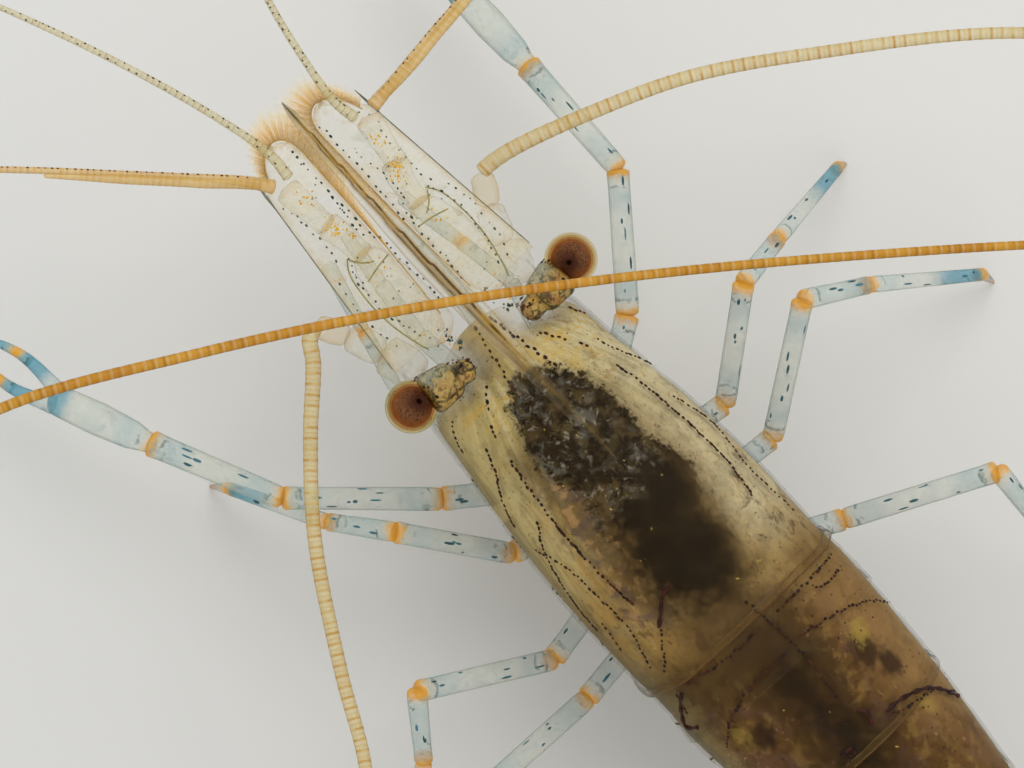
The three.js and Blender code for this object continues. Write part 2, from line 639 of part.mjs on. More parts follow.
prawn.updateMatrixWorld(true);
const box = new THREE.Box3().setFromObject(prawn);
prawn.position.set(-(box.min.x + box.max.x) / 2, -(box.min.y + box.max.y) / 2, -box.min.z);

export default prawn;
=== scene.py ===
"""The looks of a life-size rockpool prawn: shell, flesh, eyes, feelers, legs and markings.

Shapes are modelled in millimetres from the point of the back midway between the eyes, +X to the
head, +Y to the animal's left and +Z up. Each finished piece is then moved onto the solids."""

import math
import random

import bmesh
import bpy
from bpy.props import FloatProperty, FloatVectorProperty, IntProperty, PointerProperty
from mathutils import Matrix, Vector, noise
from mathutils.geometry import interpolate_bezier


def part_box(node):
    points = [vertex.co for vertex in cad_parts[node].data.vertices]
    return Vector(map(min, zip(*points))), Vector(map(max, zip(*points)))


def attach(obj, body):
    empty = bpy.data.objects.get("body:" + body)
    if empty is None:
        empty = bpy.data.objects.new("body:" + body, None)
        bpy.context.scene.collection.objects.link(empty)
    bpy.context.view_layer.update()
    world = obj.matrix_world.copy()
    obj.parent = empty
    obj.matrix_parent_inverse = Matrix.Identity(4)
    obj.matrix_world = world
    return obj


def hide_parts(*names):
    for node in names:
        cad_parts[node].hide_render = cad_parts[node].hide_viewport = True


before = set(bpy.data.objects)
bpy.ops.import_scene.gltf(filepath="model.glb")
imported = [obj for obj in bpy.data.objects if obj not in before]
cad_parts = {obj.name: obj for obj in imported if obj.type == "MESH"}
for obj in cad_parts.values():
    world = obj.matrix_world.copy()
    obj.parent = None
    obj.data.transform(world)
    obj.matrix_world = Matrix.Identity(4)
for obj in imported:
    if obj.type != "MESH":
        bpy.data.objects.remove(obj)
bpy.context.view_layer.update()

bl_info = {
    "name": "Rockpool Prawn",
    "version": (1, 0, 0),
    "blender": (4, 5, 0),
    "location": "View3D > Sidebar > Prawn",
    "description": "Builds the shell, flesh, feelers, legs and markings of a life-size prawn",
    "category": "Object",
}

# ---------------------------------------------------------------- the frame

MM = 0.001
BODY = "root"
SIDES = (("left", 1), ("right", -1))
UP = Vector((0, 0, 1))
AHEAD = Vector((1, 0, 0))

SHELL_LOW, SHELL_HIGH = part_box("carapace")
CARAPACE_FRONT = -0.9        # where the solid carapace starts, on the animal's own scale
HOME = Vector((SHELL_HIGH.x - CARAPACE_FRONT * MM, (SHELL_LOW.y + SHELL_HIGH.y) / 2, 0.0))
ONTO_FRAME = Matrix.Translation(HOME) @ Matrix.Scale(MM, 4)


def own(corner):
    """A corner of the frame, in millimetres on the animal's own scale."""
    return (corner - HOME) / MM


CARAPACE_REAR = own(SHELL_LOW).x
BACK_HEIGHT = 14.4
WIDEST_HEIGHT = 9.3
EYE_LOW, EYE_HIGH = (own(c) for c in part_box("eye_left"))
EYE = (EYE_LOW + EYE_HIGH) / 2
EYE_RADIUS = (EYE_HIGH.z - EYE_LOW.z) / 2
ROSTRUM_TIP = own(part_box("rostrum")[1]).x


# ---------------------------------------------------------------- numbers

def mix(a, b, share):
    return a + (b - a) * share


def clamp(value, low=0.0, high=1.0):
    return max(low, min(high, value))


def ease(low, high, value):
    """Nought below low, one above high, and a smooth step between."""
    share = clamp((value - low) / (high - low))
    return share * share * (3 - 2 * share)


def ramp(pairs, at):
    """The straight-line value through (place, value) pairs."""
    for (a, low), (b, high) in zip(pairs, pairs[1:]):
        if at <= b:
            return mix(low, high, clamp((at - a) / (b - a)))
    return pairs[-1][1]


def squared(value, power):
    """A power that keeps the sign, for sections fuller or slimmer than an oval."""
    return math.copysign(abs(value) ** power, value)


def rgb(code):
    """A linear colour with full alpha, from a hexadecimal one."""
    parts = [int(code[i:i + 2], 16) / 255 for i in (1, 3, 5)]
    linear = [c / 12.92 if c <= 0.04045 else ((c + 0.055) / 1.055) ** 2.4 for c in parts]
    return (*linear, 1.0)


# ---------------------------------------------------------------- settings

def length(name, default, description):
    return FloatProperty(name=name, default=default * MM, description=description,
                         unit="LENGTH", subtype="DISTANCE", precision=5)


def colour(name, code, description):
    return FloatVectorProperty(name=name, default=rgb(code)[:3], description=description,
                               subtype="COLOR", size=3, min=0.0, max=1.0)


class PrawnSizes(bpy.types.PropertyGroup):
    """Sizes of the fine pieces"""
    shell_wall: length("Shell wall", 0.09, "Thickness of the carapace and the rings of the abdomen")
    flesh_depth: length("Flesh depth", 0.13, "How far the flesh lies inside the shell")
    plate_wall: length("Plate", 0.16, "Thickness of the clear scales and tail blades")
    dot: length("Dot", 0.115, "Width of a pigment dot")
    dot_gap: length("Dot gap", 0.21, "Distance between neighbouring dots of a line")
    bristle: length("Bristle", 0.013, "Radius of a fringe bristle at its root")
    ring: length("Ring", 0.4, "Length of one ring of the long feelers")
    fringe: IntProperty(name="Fringe", default=1900, min=50, description="Bristles on one scale")


class PrawnColours(bpy.types.PropertyGroup):
    """Colours of the skin, shell and pigment"""
    cream: colour("Cream", "#CCB676", "Flesh of the head")
    tan: colour("Tan", "#A88C56", "Flesh of the flanks")
    brown: colour("Brown", "#5A3E1E", "Flesh of the abdomen")
    amber: colour("Amber", "#E09E1A", "Joints of the legs and the long feelers")
    blue: colour("Blue", "#56A0B2", "Ends of the legs")
    clear: colour("Clear", "#E6E2CC", "Clear plates")


class StudioSettings(bpy.types.PropertyGroup):
    """Floor, lights and camera"""
    floor: colour("Floor", "#D8D7D3", "Colour of the floor")
    distance: length("Distance", 153.8, "Distance from the camera to the back of the head")
    lens: FloatProperty(name="Lens", default=150.2, min=1, description="Focal length in millimetres",
                        unit="CAMERA", subtype="DISTANCE_CAMERA")
    lean: FloatProperty(name="Lean", default=math.radians(8), subtype="ANGLE", unit="ROTATION",
                        description="How far the camera leans to the animal's left")


# ---------------------------------------------------------------- materials

def as_colour(code):
    """The colour of a hexadecimal code. A colour stays as it is."""
    return rgb(code) if isinstance(code, str) else code


class Value:
    """A socket in an expression. Each operator adds one Math node."""

    def __init__(self, look, socket):
        self.look = look
        self.socket = socket

    def math(self, operation, *values):
        return self.look.node("ShaderNodeMath", {"operation": operation}, *values)

    def __add__(self, other):
        return self.math("ADD", self, other)

    def __sub__(self, other):
        return self.math("SUBTRACT", self, other)

    def __rsub__(self, other):
        return self.math("SUBTRACT", other, self)

    def __mul__(self, other):
        return self.math("MULTIPLY", self, other)

    def __truediv__(self, other):
        return self.math("DIVIDE", self, other)

    def __pow__(self, other):
        return self.math("POWER", self, other)

    def __abs__(self):
        return self.math("ABSOLUTE", self)

    __radd__ = __add__
    __rmul__ = __mul__


class Look:
    """A material, with short calls for its nodes."""

    def __init__(self, name, **constants):
        self.material = bpy.data.materials.new(name)
        self.material.use_nodes = True
        self.tree = self.material.node_tree
        self.shader = self.tree.nodes["Principled BSDF"]
        self.base = None
        for key, value in constants.items():
            self.shader.inputs[key.replace("_", " ")].default_value = value

    def node(self, kind, settings, *values, out=0, **named):
        """A node of this kind: its settings first, then the values or links of its sockets."""
        made = self.tree.nodes.new(kind)
        for key, value in settings.items():
            setattr(made, key, value)
        sockets = list(enumerate(values)) + [(k.replace("_", " "), v) for k, v in named.items()]
        for key, value in sockets:
            self.feed(made.inputs[key], value)
        return Value(self, made.outputs[out])

    def feed(self, socket, value):
        if isinstance(value, Value):
            self.tree.links.new(value.socket, socket)
        elif value is not None:
            socket.default_value = value

    def place(self, stretch=(1, 1, 1)):
        """Object coordinates in millimetres on the animal's own scale."""
        spot = self.node("ShaderNodeTexCoord", {}, out="Object")
        size = [s / MM for s in stretch]
        shift = [-h * s for h, s in zip(HOME, size)]
        return self.node("ShaderNodeMapping", {"vector_type": "POINT"}, spot, shift, (0, 0, 0), size)

    def axes(self):
        """The place along the animal, to its left and up, in millimetres."""
        split = self.tree.nodes.new("ShaderNodeSeparateXYZ")
        self.tree.links.new(self.place().socket, split.inputs[0])
        return [Value(self, o) for o in split.outputs]

    def mark(self, name):
        """A number painted on the mesh."""
        return self.node("ShaderNodeAttribute", {"attribute_name": name}, out="Fac")

    def noise(self, scale, detail=3.0, rough=0.5, bend=0.0, stretch=(1, 1, 1)):
        return self.node("ShaderNodeTexNoise", {"noise_dimensions": "3D"}, Vector=self.place(stretch),
                         Scale=scale, Detail=detail, Roughness=rough, Distortion=bend)

    def cells(self, scale, feature="F1"):
        return self.node("ShaderNodeTexVoronoi", {"feature": feature}, Vector=self.place(), Scale=scale,
                         out="Distance")

    def step(self, value, low, high, start=0.0, stop=1.0):
        """start below low, stop above high, with a smooth step between."""
        return self.node("ShaderNodeMapRange", {"interpolation_type": "SMOOTHSTEP"},
                         value, low, high, start, stop)

    def bell(self, value, middle, width):
        """One at the middle, falling to nought this width away."""
        return self.step(abs(value - middle), 0.0, width, 1.0, 0.0)

    def patch(self, low, high, *noise):
        """Patches of a noise: nought where it is below low, one where it is above high."""
        return self.step(self.noise(*noise), low, high)

    def least(self, value, limit):
        """The smaller of the two."""
        return self.node("ShaderNodeMath", {"operation": "MINIMUM"}, value, limit)

    def blend(self, factor, a, b):
        made = self.tree.nodes.new("ShaderNodeMix")
        made.data_type = "RGBA"
        for index, value in ((0, factor), (6, a), (7, b)):
            self.feed(made.inputs[index], value)
        return Value(self, made.outputs[2])

    def over(self, base, code, factor):
        """A colour laid over another."""
        return self.blend(factor, base, as_colour(code))

    def ground(self, a, b, factor):
        """The first layer of the base colour, between two tones."""
        self.base = self.blend(factor, as_colour(a), as_colour(b))

    def paint(self, code, factor):
        """One more layer of the base colour."""
        self.base = self.over(self.base, code, factor)

    def bump(self, height, strength=0.3, depth=0.05):
        return self.node("ShaderNodeBump", {}, Strength=strength, Distance=depth * MM, Height=height)

    def done(self, rough, alpha=None, bump=None):
        """The finished material. rough is a pattern and the roughness at its low and high places."""
        pattern, low, high = rough
        roughness = self.step(pattern, 0.3, 0.7, low, high)
        for name, value in (("Base Color", self.base), ("Alpha", alpha), ("Roughness", roughness),
                            ("Normal", bump)):
            self.feed(self.shader.inputs[name], value)
        return self.material


LOOKS = {}


def look(name):
    """The named material, made once."""
    if name not in LOOKS:
        LOOKS[name] = MAKERS[name]()
    return LOOKS[name]


def tone(name):
    """A colour of the settings, with full alpha."""
    return (*getattr(bpy.context.scene.prawn_colours, name), 1.0)


def nearness(x, y, middle, radii):
    """How far a place is from an oval's middle, as a share of its radii."""
    across = (x - middle[0]) / radii[0]
    along = (y - middle[1]) / radii[1]
    return (across * across + along * along) ** 0.5


GUT_OVALS = (((-6.5, 0.25), (3.7, 1.95)), ((-9.3, 0.15), (2.4, 2.15)), ((-11.6, 0.6), (2.9, 1.95)))
GOLD_SPOTS = ((-18.2, -2.2, 0.42), (-18.1, 3.4, 0.3), (-21.9, -2.3, 0.3))
PURPLE_SPOTS = ((-18.8, -1.9, 0.75), (-19.8, -2.3, 0.6), (-18.6, 2.9, 0.55), (-17.3, 0.8, 0.35))


def muscle_layers(s, x, y, coarse, middle, fine, speck, fibre):
    """Cream head, tan flanks and brown abdomen, with fibres that fan out from between the eyes."""
    s.ground(tone("cream"), tone("tan"), s.step(x + y * 0.25, -3.0, -9.5))
    s.paint("#D2C8A4", s.step(y, -0.5, -2.8) * s.step(x, -15.0, -12.0) * 0.6)
    s.paint("#A67C30", s.step(y, 0.0, 3.4) * s.step(x, -4.5, -10.0) * 0.4)
    s.paint(tone("brown"), s.step(x + (coarse - 0.5) * 6.0, -12.0, -18.0))
    ahead = s.step(x, -17.0, -12.0, 0.25, 1.0)
    s.paint("#CDB880", s.step(fibre, 0.5, 0.72) * s.step(x, -15.5, -12.0) * 0.3)
    s.paint("#6B522C", s.step(fibre, 0.47, 0.3) * 0.25)
    fan = s.node("ShaderNodeTexNoise", {"noise_dimensions": "2D"}, Scale=1.0, Detail=3.0, Roughness=0.55,
                 Vector=s.node("ShaderNodeCombineXYZ", {}, y / (1.5 - x) * 16.0, x * 0.12, 0.0))
    s.paint("#8A8266", s.patch(0.48, 0.62, 0.7, 4.0, 0.6, 0.3) * s.step(x, -15.0, -13.0) * 0.35)
    fore = s.step(x, -9.5, -6.0)
    s.paint("#D8CCA2", s.step(fan, 0.5, 0.62) * fore * 0.5)
    s.paint("#8E8860", s.step(fan, 0.48, 0.36) * fore * 0.45)
    s.paint("#3A2612", s.step(coarse, 0.48, 0.68) * s.step(x, -9.0, -16.0) * 0.6)
    s.paint("#47301A", s.step(middle, 0.54, 0.66) * s.step(x, -7.0, -15.0, 0.25, 0.7))
    s.paint("#A27838", s.patch(0.57, 0.7, 1.5, 4.0, 0.6, 1.0) * ahead * 0.55)
    s.paint("#6A4E26", s.step(fine, 0.54, 0.7) * 0.5)
    s.paint("#4D3A22", s.step(speck, 0.6, 0.72) * 0.5)
    s.paint("#D9B95C", s.patch(0.68, 0.74, 4.5, 2.0, 0.5) * ahead * 0.6)


def abdomen_layers(s, x, y, rim, coarse, middle, fine):
    """Purple and golden clouds, the dark band and stripe of the back, and the paler right flank."""
    clouds = s.step(x, -13.5, -16.0)
    s.paint("#6A4C40", s.patch(0.48, 0.64, 0.8, 4.0, 0.6, 0.3) * clouds * 0.5)
    s.paint("#96763E", s.patch(0.5, 0.66, 1.9, 4.0, 0.6, 0.3) * clouds * 0.4)
    s.paint("#B98C68", s.patch(0.66, 0.74, 3.6, 2.0, 0.5, 0.2) * clouds * 0.4)
    s.paint("#2E1E10", s.bell(x + (coarse - 0.5) * 1.5, -15.9, 2.4) * s.step(y, -1.6, -0.4) * 0.65)
    wavy = y + (fine - 0.5) * 1.4 + (coarse - 0.5) * 1.6
    stripe = s.bell(wavy, 0.8, 2.3) * s.step(x, -15.6, -18.0, 0.4, 1.0)
    s.paint("#150D06", stripe * s.step(x, -14.2, -15.4) * 0.95)
    flank = s.step(y, -0.8, -2.8) * s.step(x, -14.5, -17.0) * s.step(x, -24.0, -21.5, 0.3, 1.0)
    s.paint("#927044", flank * 0.75)
    s.paint("#3A2614", s.patch(0.5, 0.66, 1.5, 4.0, 0.6, 0.4) * clouds * (0.5 - flank * 0.25))
    s.paint("#A8935F", s.step(rim + (middle - 0.5) * 0.3, 0.84, 1.0) * clouds * 0.4)


def brow_layers(s, x, y):
    """Golden blotches of the head, and the brown line that runs back from the rostrum."""
    blotch = s.patch(0.52, 0.64, 1.1, 4.0, 0.65, 1.0) * s.step(x, -5.5, -3.0)
    s.paint("#CDA544", blotch * 0.6)
    s.paint("#74481C", s.bell(y - 0.02, 0.0, 0.22) * s.step(x, -4.4, -3.0) * 0.85)
    s.paint("#B98E3A", s.bell(abs(y), 0.55, 0.4) * s.step(x, -4.0, -2.4) * 0.3)


def spot_layers(s, x, y, middle, fine, speck, high):
    """The purple smudges and golden spots of the back."""
    for px, py, radius in PURPLE_SPOTS:
        near = nearness(x, y, (px, py), (radius, radius * 0.8)) + (fine - 0.5) * 1.4
        s.paint("#261410", s.step(near, 1.3, 0.5) * high * 0.85)
    for px, py, radius in GOLD_SPOTS:
        near = nearness(x, y, (px, py), (radius * 1.5, radius)) + (fine - 0.5) * 2.6 + (speck - 0.5)
        s.paint("#A68C40", s.step(near + (middle - 0.5) * 1.5, 1.4, 0.1) * high * radius * 1.5)


def gut_layers(s, x, y, coarse, middle, fine, speck, high):
    """The dark gut mass: ragged and milky in front, soft and plain behind, with a brown halo round it,
    partly the gut seen blurred through the flesh and partly its painted shadow.
    """
    near = None
    for centre, radii in GUT_OVALS:
        oval = nearness(x, y, centre, radii)
        near = oval if near is None else s.least(near, oval)
    ragged = near + (fine - 0.5) * 0.55 + (speck - 0.5) * 0.3 + (coarse - 0.5) * 0.35
    soft = s.step(near + (middle - 0.5) * 0.6 + (fine - 0.5) * 0.25, 1.22, 0.76)
    gut = s.blend(s.step(x + (coarse - 0.5) * 3.0, -11.5, -9.0), soft, s.step(ragged, 1.04, 0.86)) * high
    # painted shadow: a brown halo round the gut, partly the gut seen blurred through the flesh and partly
    # the shadow it casts in it
    halo = s.step(near + (middle - 0.5) * 0.9 - s.step(y, 0.8, 2.2) * 0.2, 1.4, 0.95) * high
    halo = halo * s.step(x, -3.8, -5.8) * s.step(y, 3.8, 2.6)
    s.paint("#4A341C", halo * s.step(y, -1.0, 1.5, 0.45, 0.7))
    beside = s.step(y, 0.8, 1.8) * s.step(y, 3.9, 3.2) * s.step(x, -5.0, -7.0) * s.step(x, -14.0, -12.5)
    s.paint("#5C4A42", s.patch(0.5, 0.62, 1.0, 3.0, 0.6, 0.8) * beside * 0.7)
    s.paint("#B08858", s.patch(0.52, 0.64, 1.7, 4.0, 0.65, 0.6) * beside * 0.6)
    front = s.step(x + (middle - 0.5) * 3.0, -9.8, -7.8)
    dark = s.blend(front, rgb("#140D07"), rgb("#241A0E"))
    dark = s.over(dark, "#3E2E18", (1 - front) * s.step(near + (middle - 0.5) * 0.5, 0.5, 1.0) * 0.8)
    dark = s.over(dark, "#524326", s.step(middle, 0.46, 0.62) * s.step(front, 0.0, 1.0, 0.1, 0.7))
    milk = front * s.step(y + (middle - 0.5) * 1.5, -1.5, -0.6)
    wisps = s.patch(0.5, 0.66, 1.3, 4.0, 0.65, 0.4) * milk
    dark = s.over(dark, "#6C685C", wisps * 0.6)
    flecks = s.patch(0.56, 0.7, 3.8, 3.0, 0.6, 0.6) * milk
    dark = s.over(dark, "#A69E8C", flecks * 0.5)
    dark = s.over(dark, "#0E0905", s.patch(0.52, 0.62, 2.5, 4.0, 0.65, 0.5) * front * 0.85)
    dark = s.over(dark, "#54431F", s.step(speck, 0.56, 0.68) * (1 - front) * 0.4)
    deep = s.step(nearness(x, y, (-7.2, 0.2), (1.2, 1.5)) + (middle - 0.5) * 1.5, 1.1, 0.3)
    dark = s.over(dark, "#181008", deep * 0.5)
    border = s.bell(ragged, 0.82, 0.26) * s.step(y, 0.2, 1.0) * s.step(x, -7.0, -9.0)
    dark = s.over(dark, "#6E5430", border * s.step(fine, 0.4, 0.6) * 0.4)
    s.paint(dark, gut)


def margin_layers(s, x, y, rim, middle, fibre):
    """A darker band of painted shade at the sides, paler margins streaked on the left, and the yellow flesh
    of the head.
    """
    # painted shade: a darker band where the flesh faces sideways, at its edges as seen from above
    s.paint("#9A8C5E", s.step(rim, 0.94, 1.0) * 0.2)
    left_rim = s.step(rim + (middle - 0.5) * 0.4, 0.64, 0.92) * s.step(y, 1.0, 2.0) * s.step(x, -12.0, -9.0)
    s.paint("#CDBA80", left_rim * s.step(fibre, 0.36, 0.6, 0.2, 0.75))
    s.paint("#B8924A", left_rim * s.patch(0.54, 0.66, 1.5, 4.0, 0.6, 0.8) * 0.5)
    s.paint("#7C7448", left_rim * s.patch(0.58, 0.68, 2.6, 4.0, 0.6, 0.4) * 0.45)
    head = s.step(x, -3.2, -1.2)
    s.paint("#C2A450", head * 0.6)
    s.paint("#9A8038", head * s.step(middle, 0.5, 0.62) * 0.6)


def flesh_look():
    """Cream to brown muscle with the dark gut mass, mottles, golden spots and purple smudges."""
    s = Look("prawn_flesh", IOR=1.38, Specular_IOR_Level=0.05)
    x, y, z = s.axes()
    rim = s.mark("share")
    coarse = s.noise(0.5, 4.0, 0.6)
    middle = s.noise(1.2, 4.0, 0.65, 0.5)
    fine = s.noise(2.8, 5.0, 0.65, 0.4)
    speck = s.noise(9.0, 3.0, 0.7)
    fibre = s.noise(1.7, 4.0, 0.6, 0.3, stretch=(0.3, 1.5, 1.0))
    high = s.step(z, 8.5, 11.0)
    muscle_layers(s, x, y, coarse, middle, fine, speck, fibre)
    abdomen_layers(s, x, y, rim, coarse, middle, fine)
    brow_layers(s, x, y)
    spot_layers(s, x, y, middle, fine, speck, high)
    gut_layers(s, x, y, coarse, middle, fine, speck, high)
    margin_layers(s, x, y, rim, middle, fibre)
    fade = s.step(x + (middle - 0.5) * 1.6, -3.2, -1.5)
    alpha = 1 - fade * s.step(abs(y), 0.2, 1.4, 0.35, 0.92)
    return s.done(alpha=alpha, rough=(fine, 0.4, 0.6),
                  bump=s.bump(fine * 0.6 + speck * 0.3, 0.5, 0.12))


def tail_flesh_look():
    """Brown-cream flesh of the tail's middle piece."""
    s = Look("tail_flesh", IOR=1.4, Coat_Weight=0.15, Coat_Roughness=0.3)
    wave = s.noise(1.2, 4.0, 0.6)
    speck = s.noise(6.0, 3.0, 0.6)
    s.ground("#9A8558", "#745E38", s.step(wave, 0.35, 0.65))
    s.paint("#4C371C", s.patch(0.52, 0.62, 2.4, 4.0, 0.65, 0.8) * 0.6)
    s.paint("#B29A62", s.patch(0.54, 0.64, 1.7, 4.0, 0.65, 0.8) * 0.5)
    s.paint("#4A3620", s.step(speck, 0.6, 0.7) * 0.6)
    s.paint("#B9AE8A", s.step(s.mark("flank"), 0.8, 1.0) * 0.5)
    return s.done(alpha=s.step(wave, 0.3, 0.7, 0.8, 0.92), rough=(wave, 0.3, 0.45),
                  bump=s.bump(speck, 0.3, 0.05))


def shell_look():
    """Clear horny shell, milky in patches, with brown and golden lines along its rear margin, and painted
    shade along its sides.
    """
    s = Look("prawn_shell", IOR=1.42, Specular_IOR_Level=0.25)
    edge = s.mark("edge")
    flank = s.mark("flank")
    band = s.mark("band")
    coarse = s.noise(0.8, 3.0, 0.6)
    fine = s.noise(5.0, 4.0, 0.6)
    s.ground("#77663C", "#5C4C28", s.step(coarse, 0.35, 0.7))
    s.paint("#6E5428", s.patch(0.6, 0.72, 7.0, 3.0, 0.6) * 0.6)
    gold = s.step(edge, 0.3, 0.22) * band
    s.paint("#8A6426", gold * 0.6)
    wavy = edge + (coarse - 0.5) * 0.2
    lines = (s.bell(edge, 0.03, 0.05) + s.bell(wavy, 0.28, 0.055) * s.step(fine, 0.4, 0.6, 0.5, 1.0)) * band
    s.paint("#5A3410", lines)
    # painted shade: a darker, more opaque band where the shell faces sideways, the dark outline its edges
    # show from above
    rim = s.step(flank, 0.9, 1.0)
    s.paint("#6A6442", rim * 0.6)
    hem = s.bell(s.mark("hem"), 0.07, 0.09)
    s.paint("#5C4A22", hem)
    alpha = s.step(coarse, 0.3, 0.8, 0.02, 0.05) + lines * 0.65 + gold * 0.1 + hem * 0.6
    alpha = alpha + s.step(fine, 0.62, 0.75) * 0.06 + rim * 0.06 + s.step(flank, 0.97, 1.0) * 0.12
    alpha = s.least(alpha, 0.95)
    return s.done(alpha=alpha, rough=(fine, 0.3, 0.45),
                  bump=s.bump(s.noise(12.0, 3.0, 0.6), 0.12, 0.03))


def clear_look():
    """Clear thin plates, with faint milky clouds and small orange and grey-green clouds."""
    s = Look("clear_plate", IOR=1.4, Specular_IOR_Level=0.3)
    coarse = s.noise(0.9, 3.0, 0.6)
    amber = s.patch(0.6, 0.72, 1.3, 3.0, 0.65, 0.8)
    green = s.patch(0.58, 0.7, 1.0, 4.0, 0.6, 0.5)
    s.ground(tone("clear"), "#E2D8B0", s.step(coarse, 0.3, 0.7))
    s.paint("#CFA044", amber * 0.7)
    s.paint("#939C7C", green * 0.5)
    rim = s.mark("rim")
    s.paint("#CFA958", s.step(rim, 0.3, 0.0) * 0.55)
    alpha = s.step(coarse, 0.3, 0.75, 0.09, 0.24) + amber * 0.2 + green * 0.12 + s.step(rim, 0.3, 0.0) * 0.12
    return s.done(alpha=alpha, rough=(coarse, 0.25, 0.4),
                  bump=s.bump(s.noise(6.0, 3.0, 0.6), 0.2, 0.03))


def peduncle_look(name="peduncle_skin", cover=1.0):
    """Clear stalks of the small feelers: cream inside, orange at the joints, and grey-green painted shade
    along their edges.
    """
    s = Look(name, IOR=1.4, Specular_IOR_Level=0.3)
    flank = s.mark("flank")
    joint = s.mark("joint")
    coarse = s.noise(1.4, 4.0, 0.6)
    s.ground("#E0D8B2", "#D6C898", s.step(coarse, 0.35, 0.65))
    band = s.step(joint + (coarse - 0.5) * 0.7, 0.45, 0.1)
    s.paint("#CFA650", band * 0.6)
    s.paint("#CFA040", s.patch(0.56, 0.66, 1.8, 4.0, 0.65, 0.6) * 0.6)
    patch = s.patch(0.54, 0.66, 2.2, 4.0, 0.65, 0.6)
    s.paint("#848E6C", patch * 0.6)
    # painted shade: grey-green darkening where the stalk faces sideways, its edges as seen from above
    edges = s.step(flank, 0.86, 1.0)
    s.paint("#9A9468", edges * 0.6)
    alpha = s.step(coarse, 0.35, 0.7, 0.05, 0.2) + band * 0.14 + patch * 0.12 + edges * 0.12
    return s.done(alpha=alpha * cover, rough=(coarse, 0.25, 0.4),
                  bump=s.bump(s.noise(5.0, 3.0, 0.6), 0.25, 0.05))


def rostrum_look():
    """The clear blade: a dark streak along its crest, amber beside it and fine amber edges."""
    s = Look("rostrum_skin", IOR=1.42, Specular_IOR_Level=0.06)
    x, _, _ = s.axes()
    core = s.mark("core")
    wave = s.noise(0.9, 3.0, 0.6)
    fine = s.noise(3.5, 3.0, 0.6)
    shade = core + (fine - 0.5) * 0.03
    s.ground("#DAD5BE", "#CEC49C", s.step(wave, 0.35, 0.65))
    amber = s.step(shade, 0.5, 0.84)
    s.paint("#B08414", amber * 0.9)
    streak = s.step(shade, 0.84, 0.93) * s.step(x, -4.2, -2.4)
    s.paint("#4E3204", streak * s.step(wave, 0.38, 0.56, 0.45, 1.0))
    edge = s.step(core, 0.14, 0.06)
    s.paint("#B88C40", edge * 0.7)
    tip = s.step(x, ROSTRUM_TIP - 1.6, ROSTRUM_TIP - 0.3)
    s.paint("#4C4C34", tip * 0.7)
    alpha = 0.14 + amber * 0.42 + streak * 0.35 + edge * 0.3 + tip * 0.2
    alpha = s.least(alpha * s.step(x, -3.2, -1.2, 0.3, 1.0), 0.95)
    return s.done(alpha=alpha, rough=(wave, 0.3, 0.45),
                  bump=s.bump(s.noise(6.0, 3.0, 0.6), 0.2, 0.04))


def line_look(name, code, second, alpha=0.9):
    """Fine horny rims and lines, in two tones of one colour."""
    def make():
        s = Look(name, IOR=1.45, Specular_IOR_Level=0.2)
        wave = s.noise(2.2, 4.0, 0.6)
        s.ground(code, second, s.step(wave, 0.35, 0.65))
        return s.done(alpha=s.step(wave, 0.3, 0.7, alpha - 0.15, alpha),
                      rough=(wave, 0.3, 0.5))
    return make


def pigment_look(name, code, second):
    """Pigment cells: dark with a warmer edge, each a little different."""
    def make():
        s = Look(name, IOR=1.4, Specular_IOR_Level=0.2)
        wave = s.noise(7.0, 2.0, 0.5)
        s.ground(code, second, s.mark("tone"))
        s.paint(second, s.step(wave, 0.5, 0.7) * 0.4)
        return s.done(rough=(wave, 0.45, 0.7))
    return make


def bristle_look():
    """Fine pale tan bristles, more golden at the root."""
    s = Look("bristle", IOR=1.4, Specular_IOR_Level=0.2)
    along = s.mark("along")
    s.ground("#F8C43C", "#FFE69C", s.step(along, 0.0, 0.8))
    s.paint("#FFF4D0", s.mark("tone") * 0.5)
    return s.done(alpha=s.step(along, 0.1, 1.0, 0.08, 0.03),
                  rough=(s.noise(4.0, 2.0, 0.5), 0.4, 0.6))


def haze_look():
    """The finest bristles of a fringe, too close to tell apart: a pale yellow haze with soft streaks."""
    s = Look("fringe_haze", IOR=1.3, Specular_IOR_Level=0.1)
    out = s.mark("out")
    streak = s.node("ShaderNodeTexNoise", {"noise_dimensions": "1D"}, W=s.mark("along"),
                    Scale=9.0, Detail=3.0)
    s.ground("#EEB834", "#F8DE92", out)
    alpha = s.step(out, 0.2, 1.0, 0.55, 0.0) * s.step(streak, 0.3, 0.7, 0.5, 1.0)
    return s.done(alpha=alpha, rough=(streak, 0.5, 0.7))


def clear_eye_look(name, tint):
    """A clear tinted layer of the eye, which light passes twice at the rim."""
    def make():
        s = Look(name, IOR=1.02, Transmission_Weight=1.0, Specular_IOR_Level=0.2)
        wave = s.noise(2.4, 4.0, 0.6)
        pale = [1 - (1 - c) * 0.8 for c in rgb(tint)]
        s.ground(tint, (*pale[:3], 1.0), s.step(wave, 0.3, 0.7))
        return s.done(rough=(wave, 0.0, 0.04))
    return make


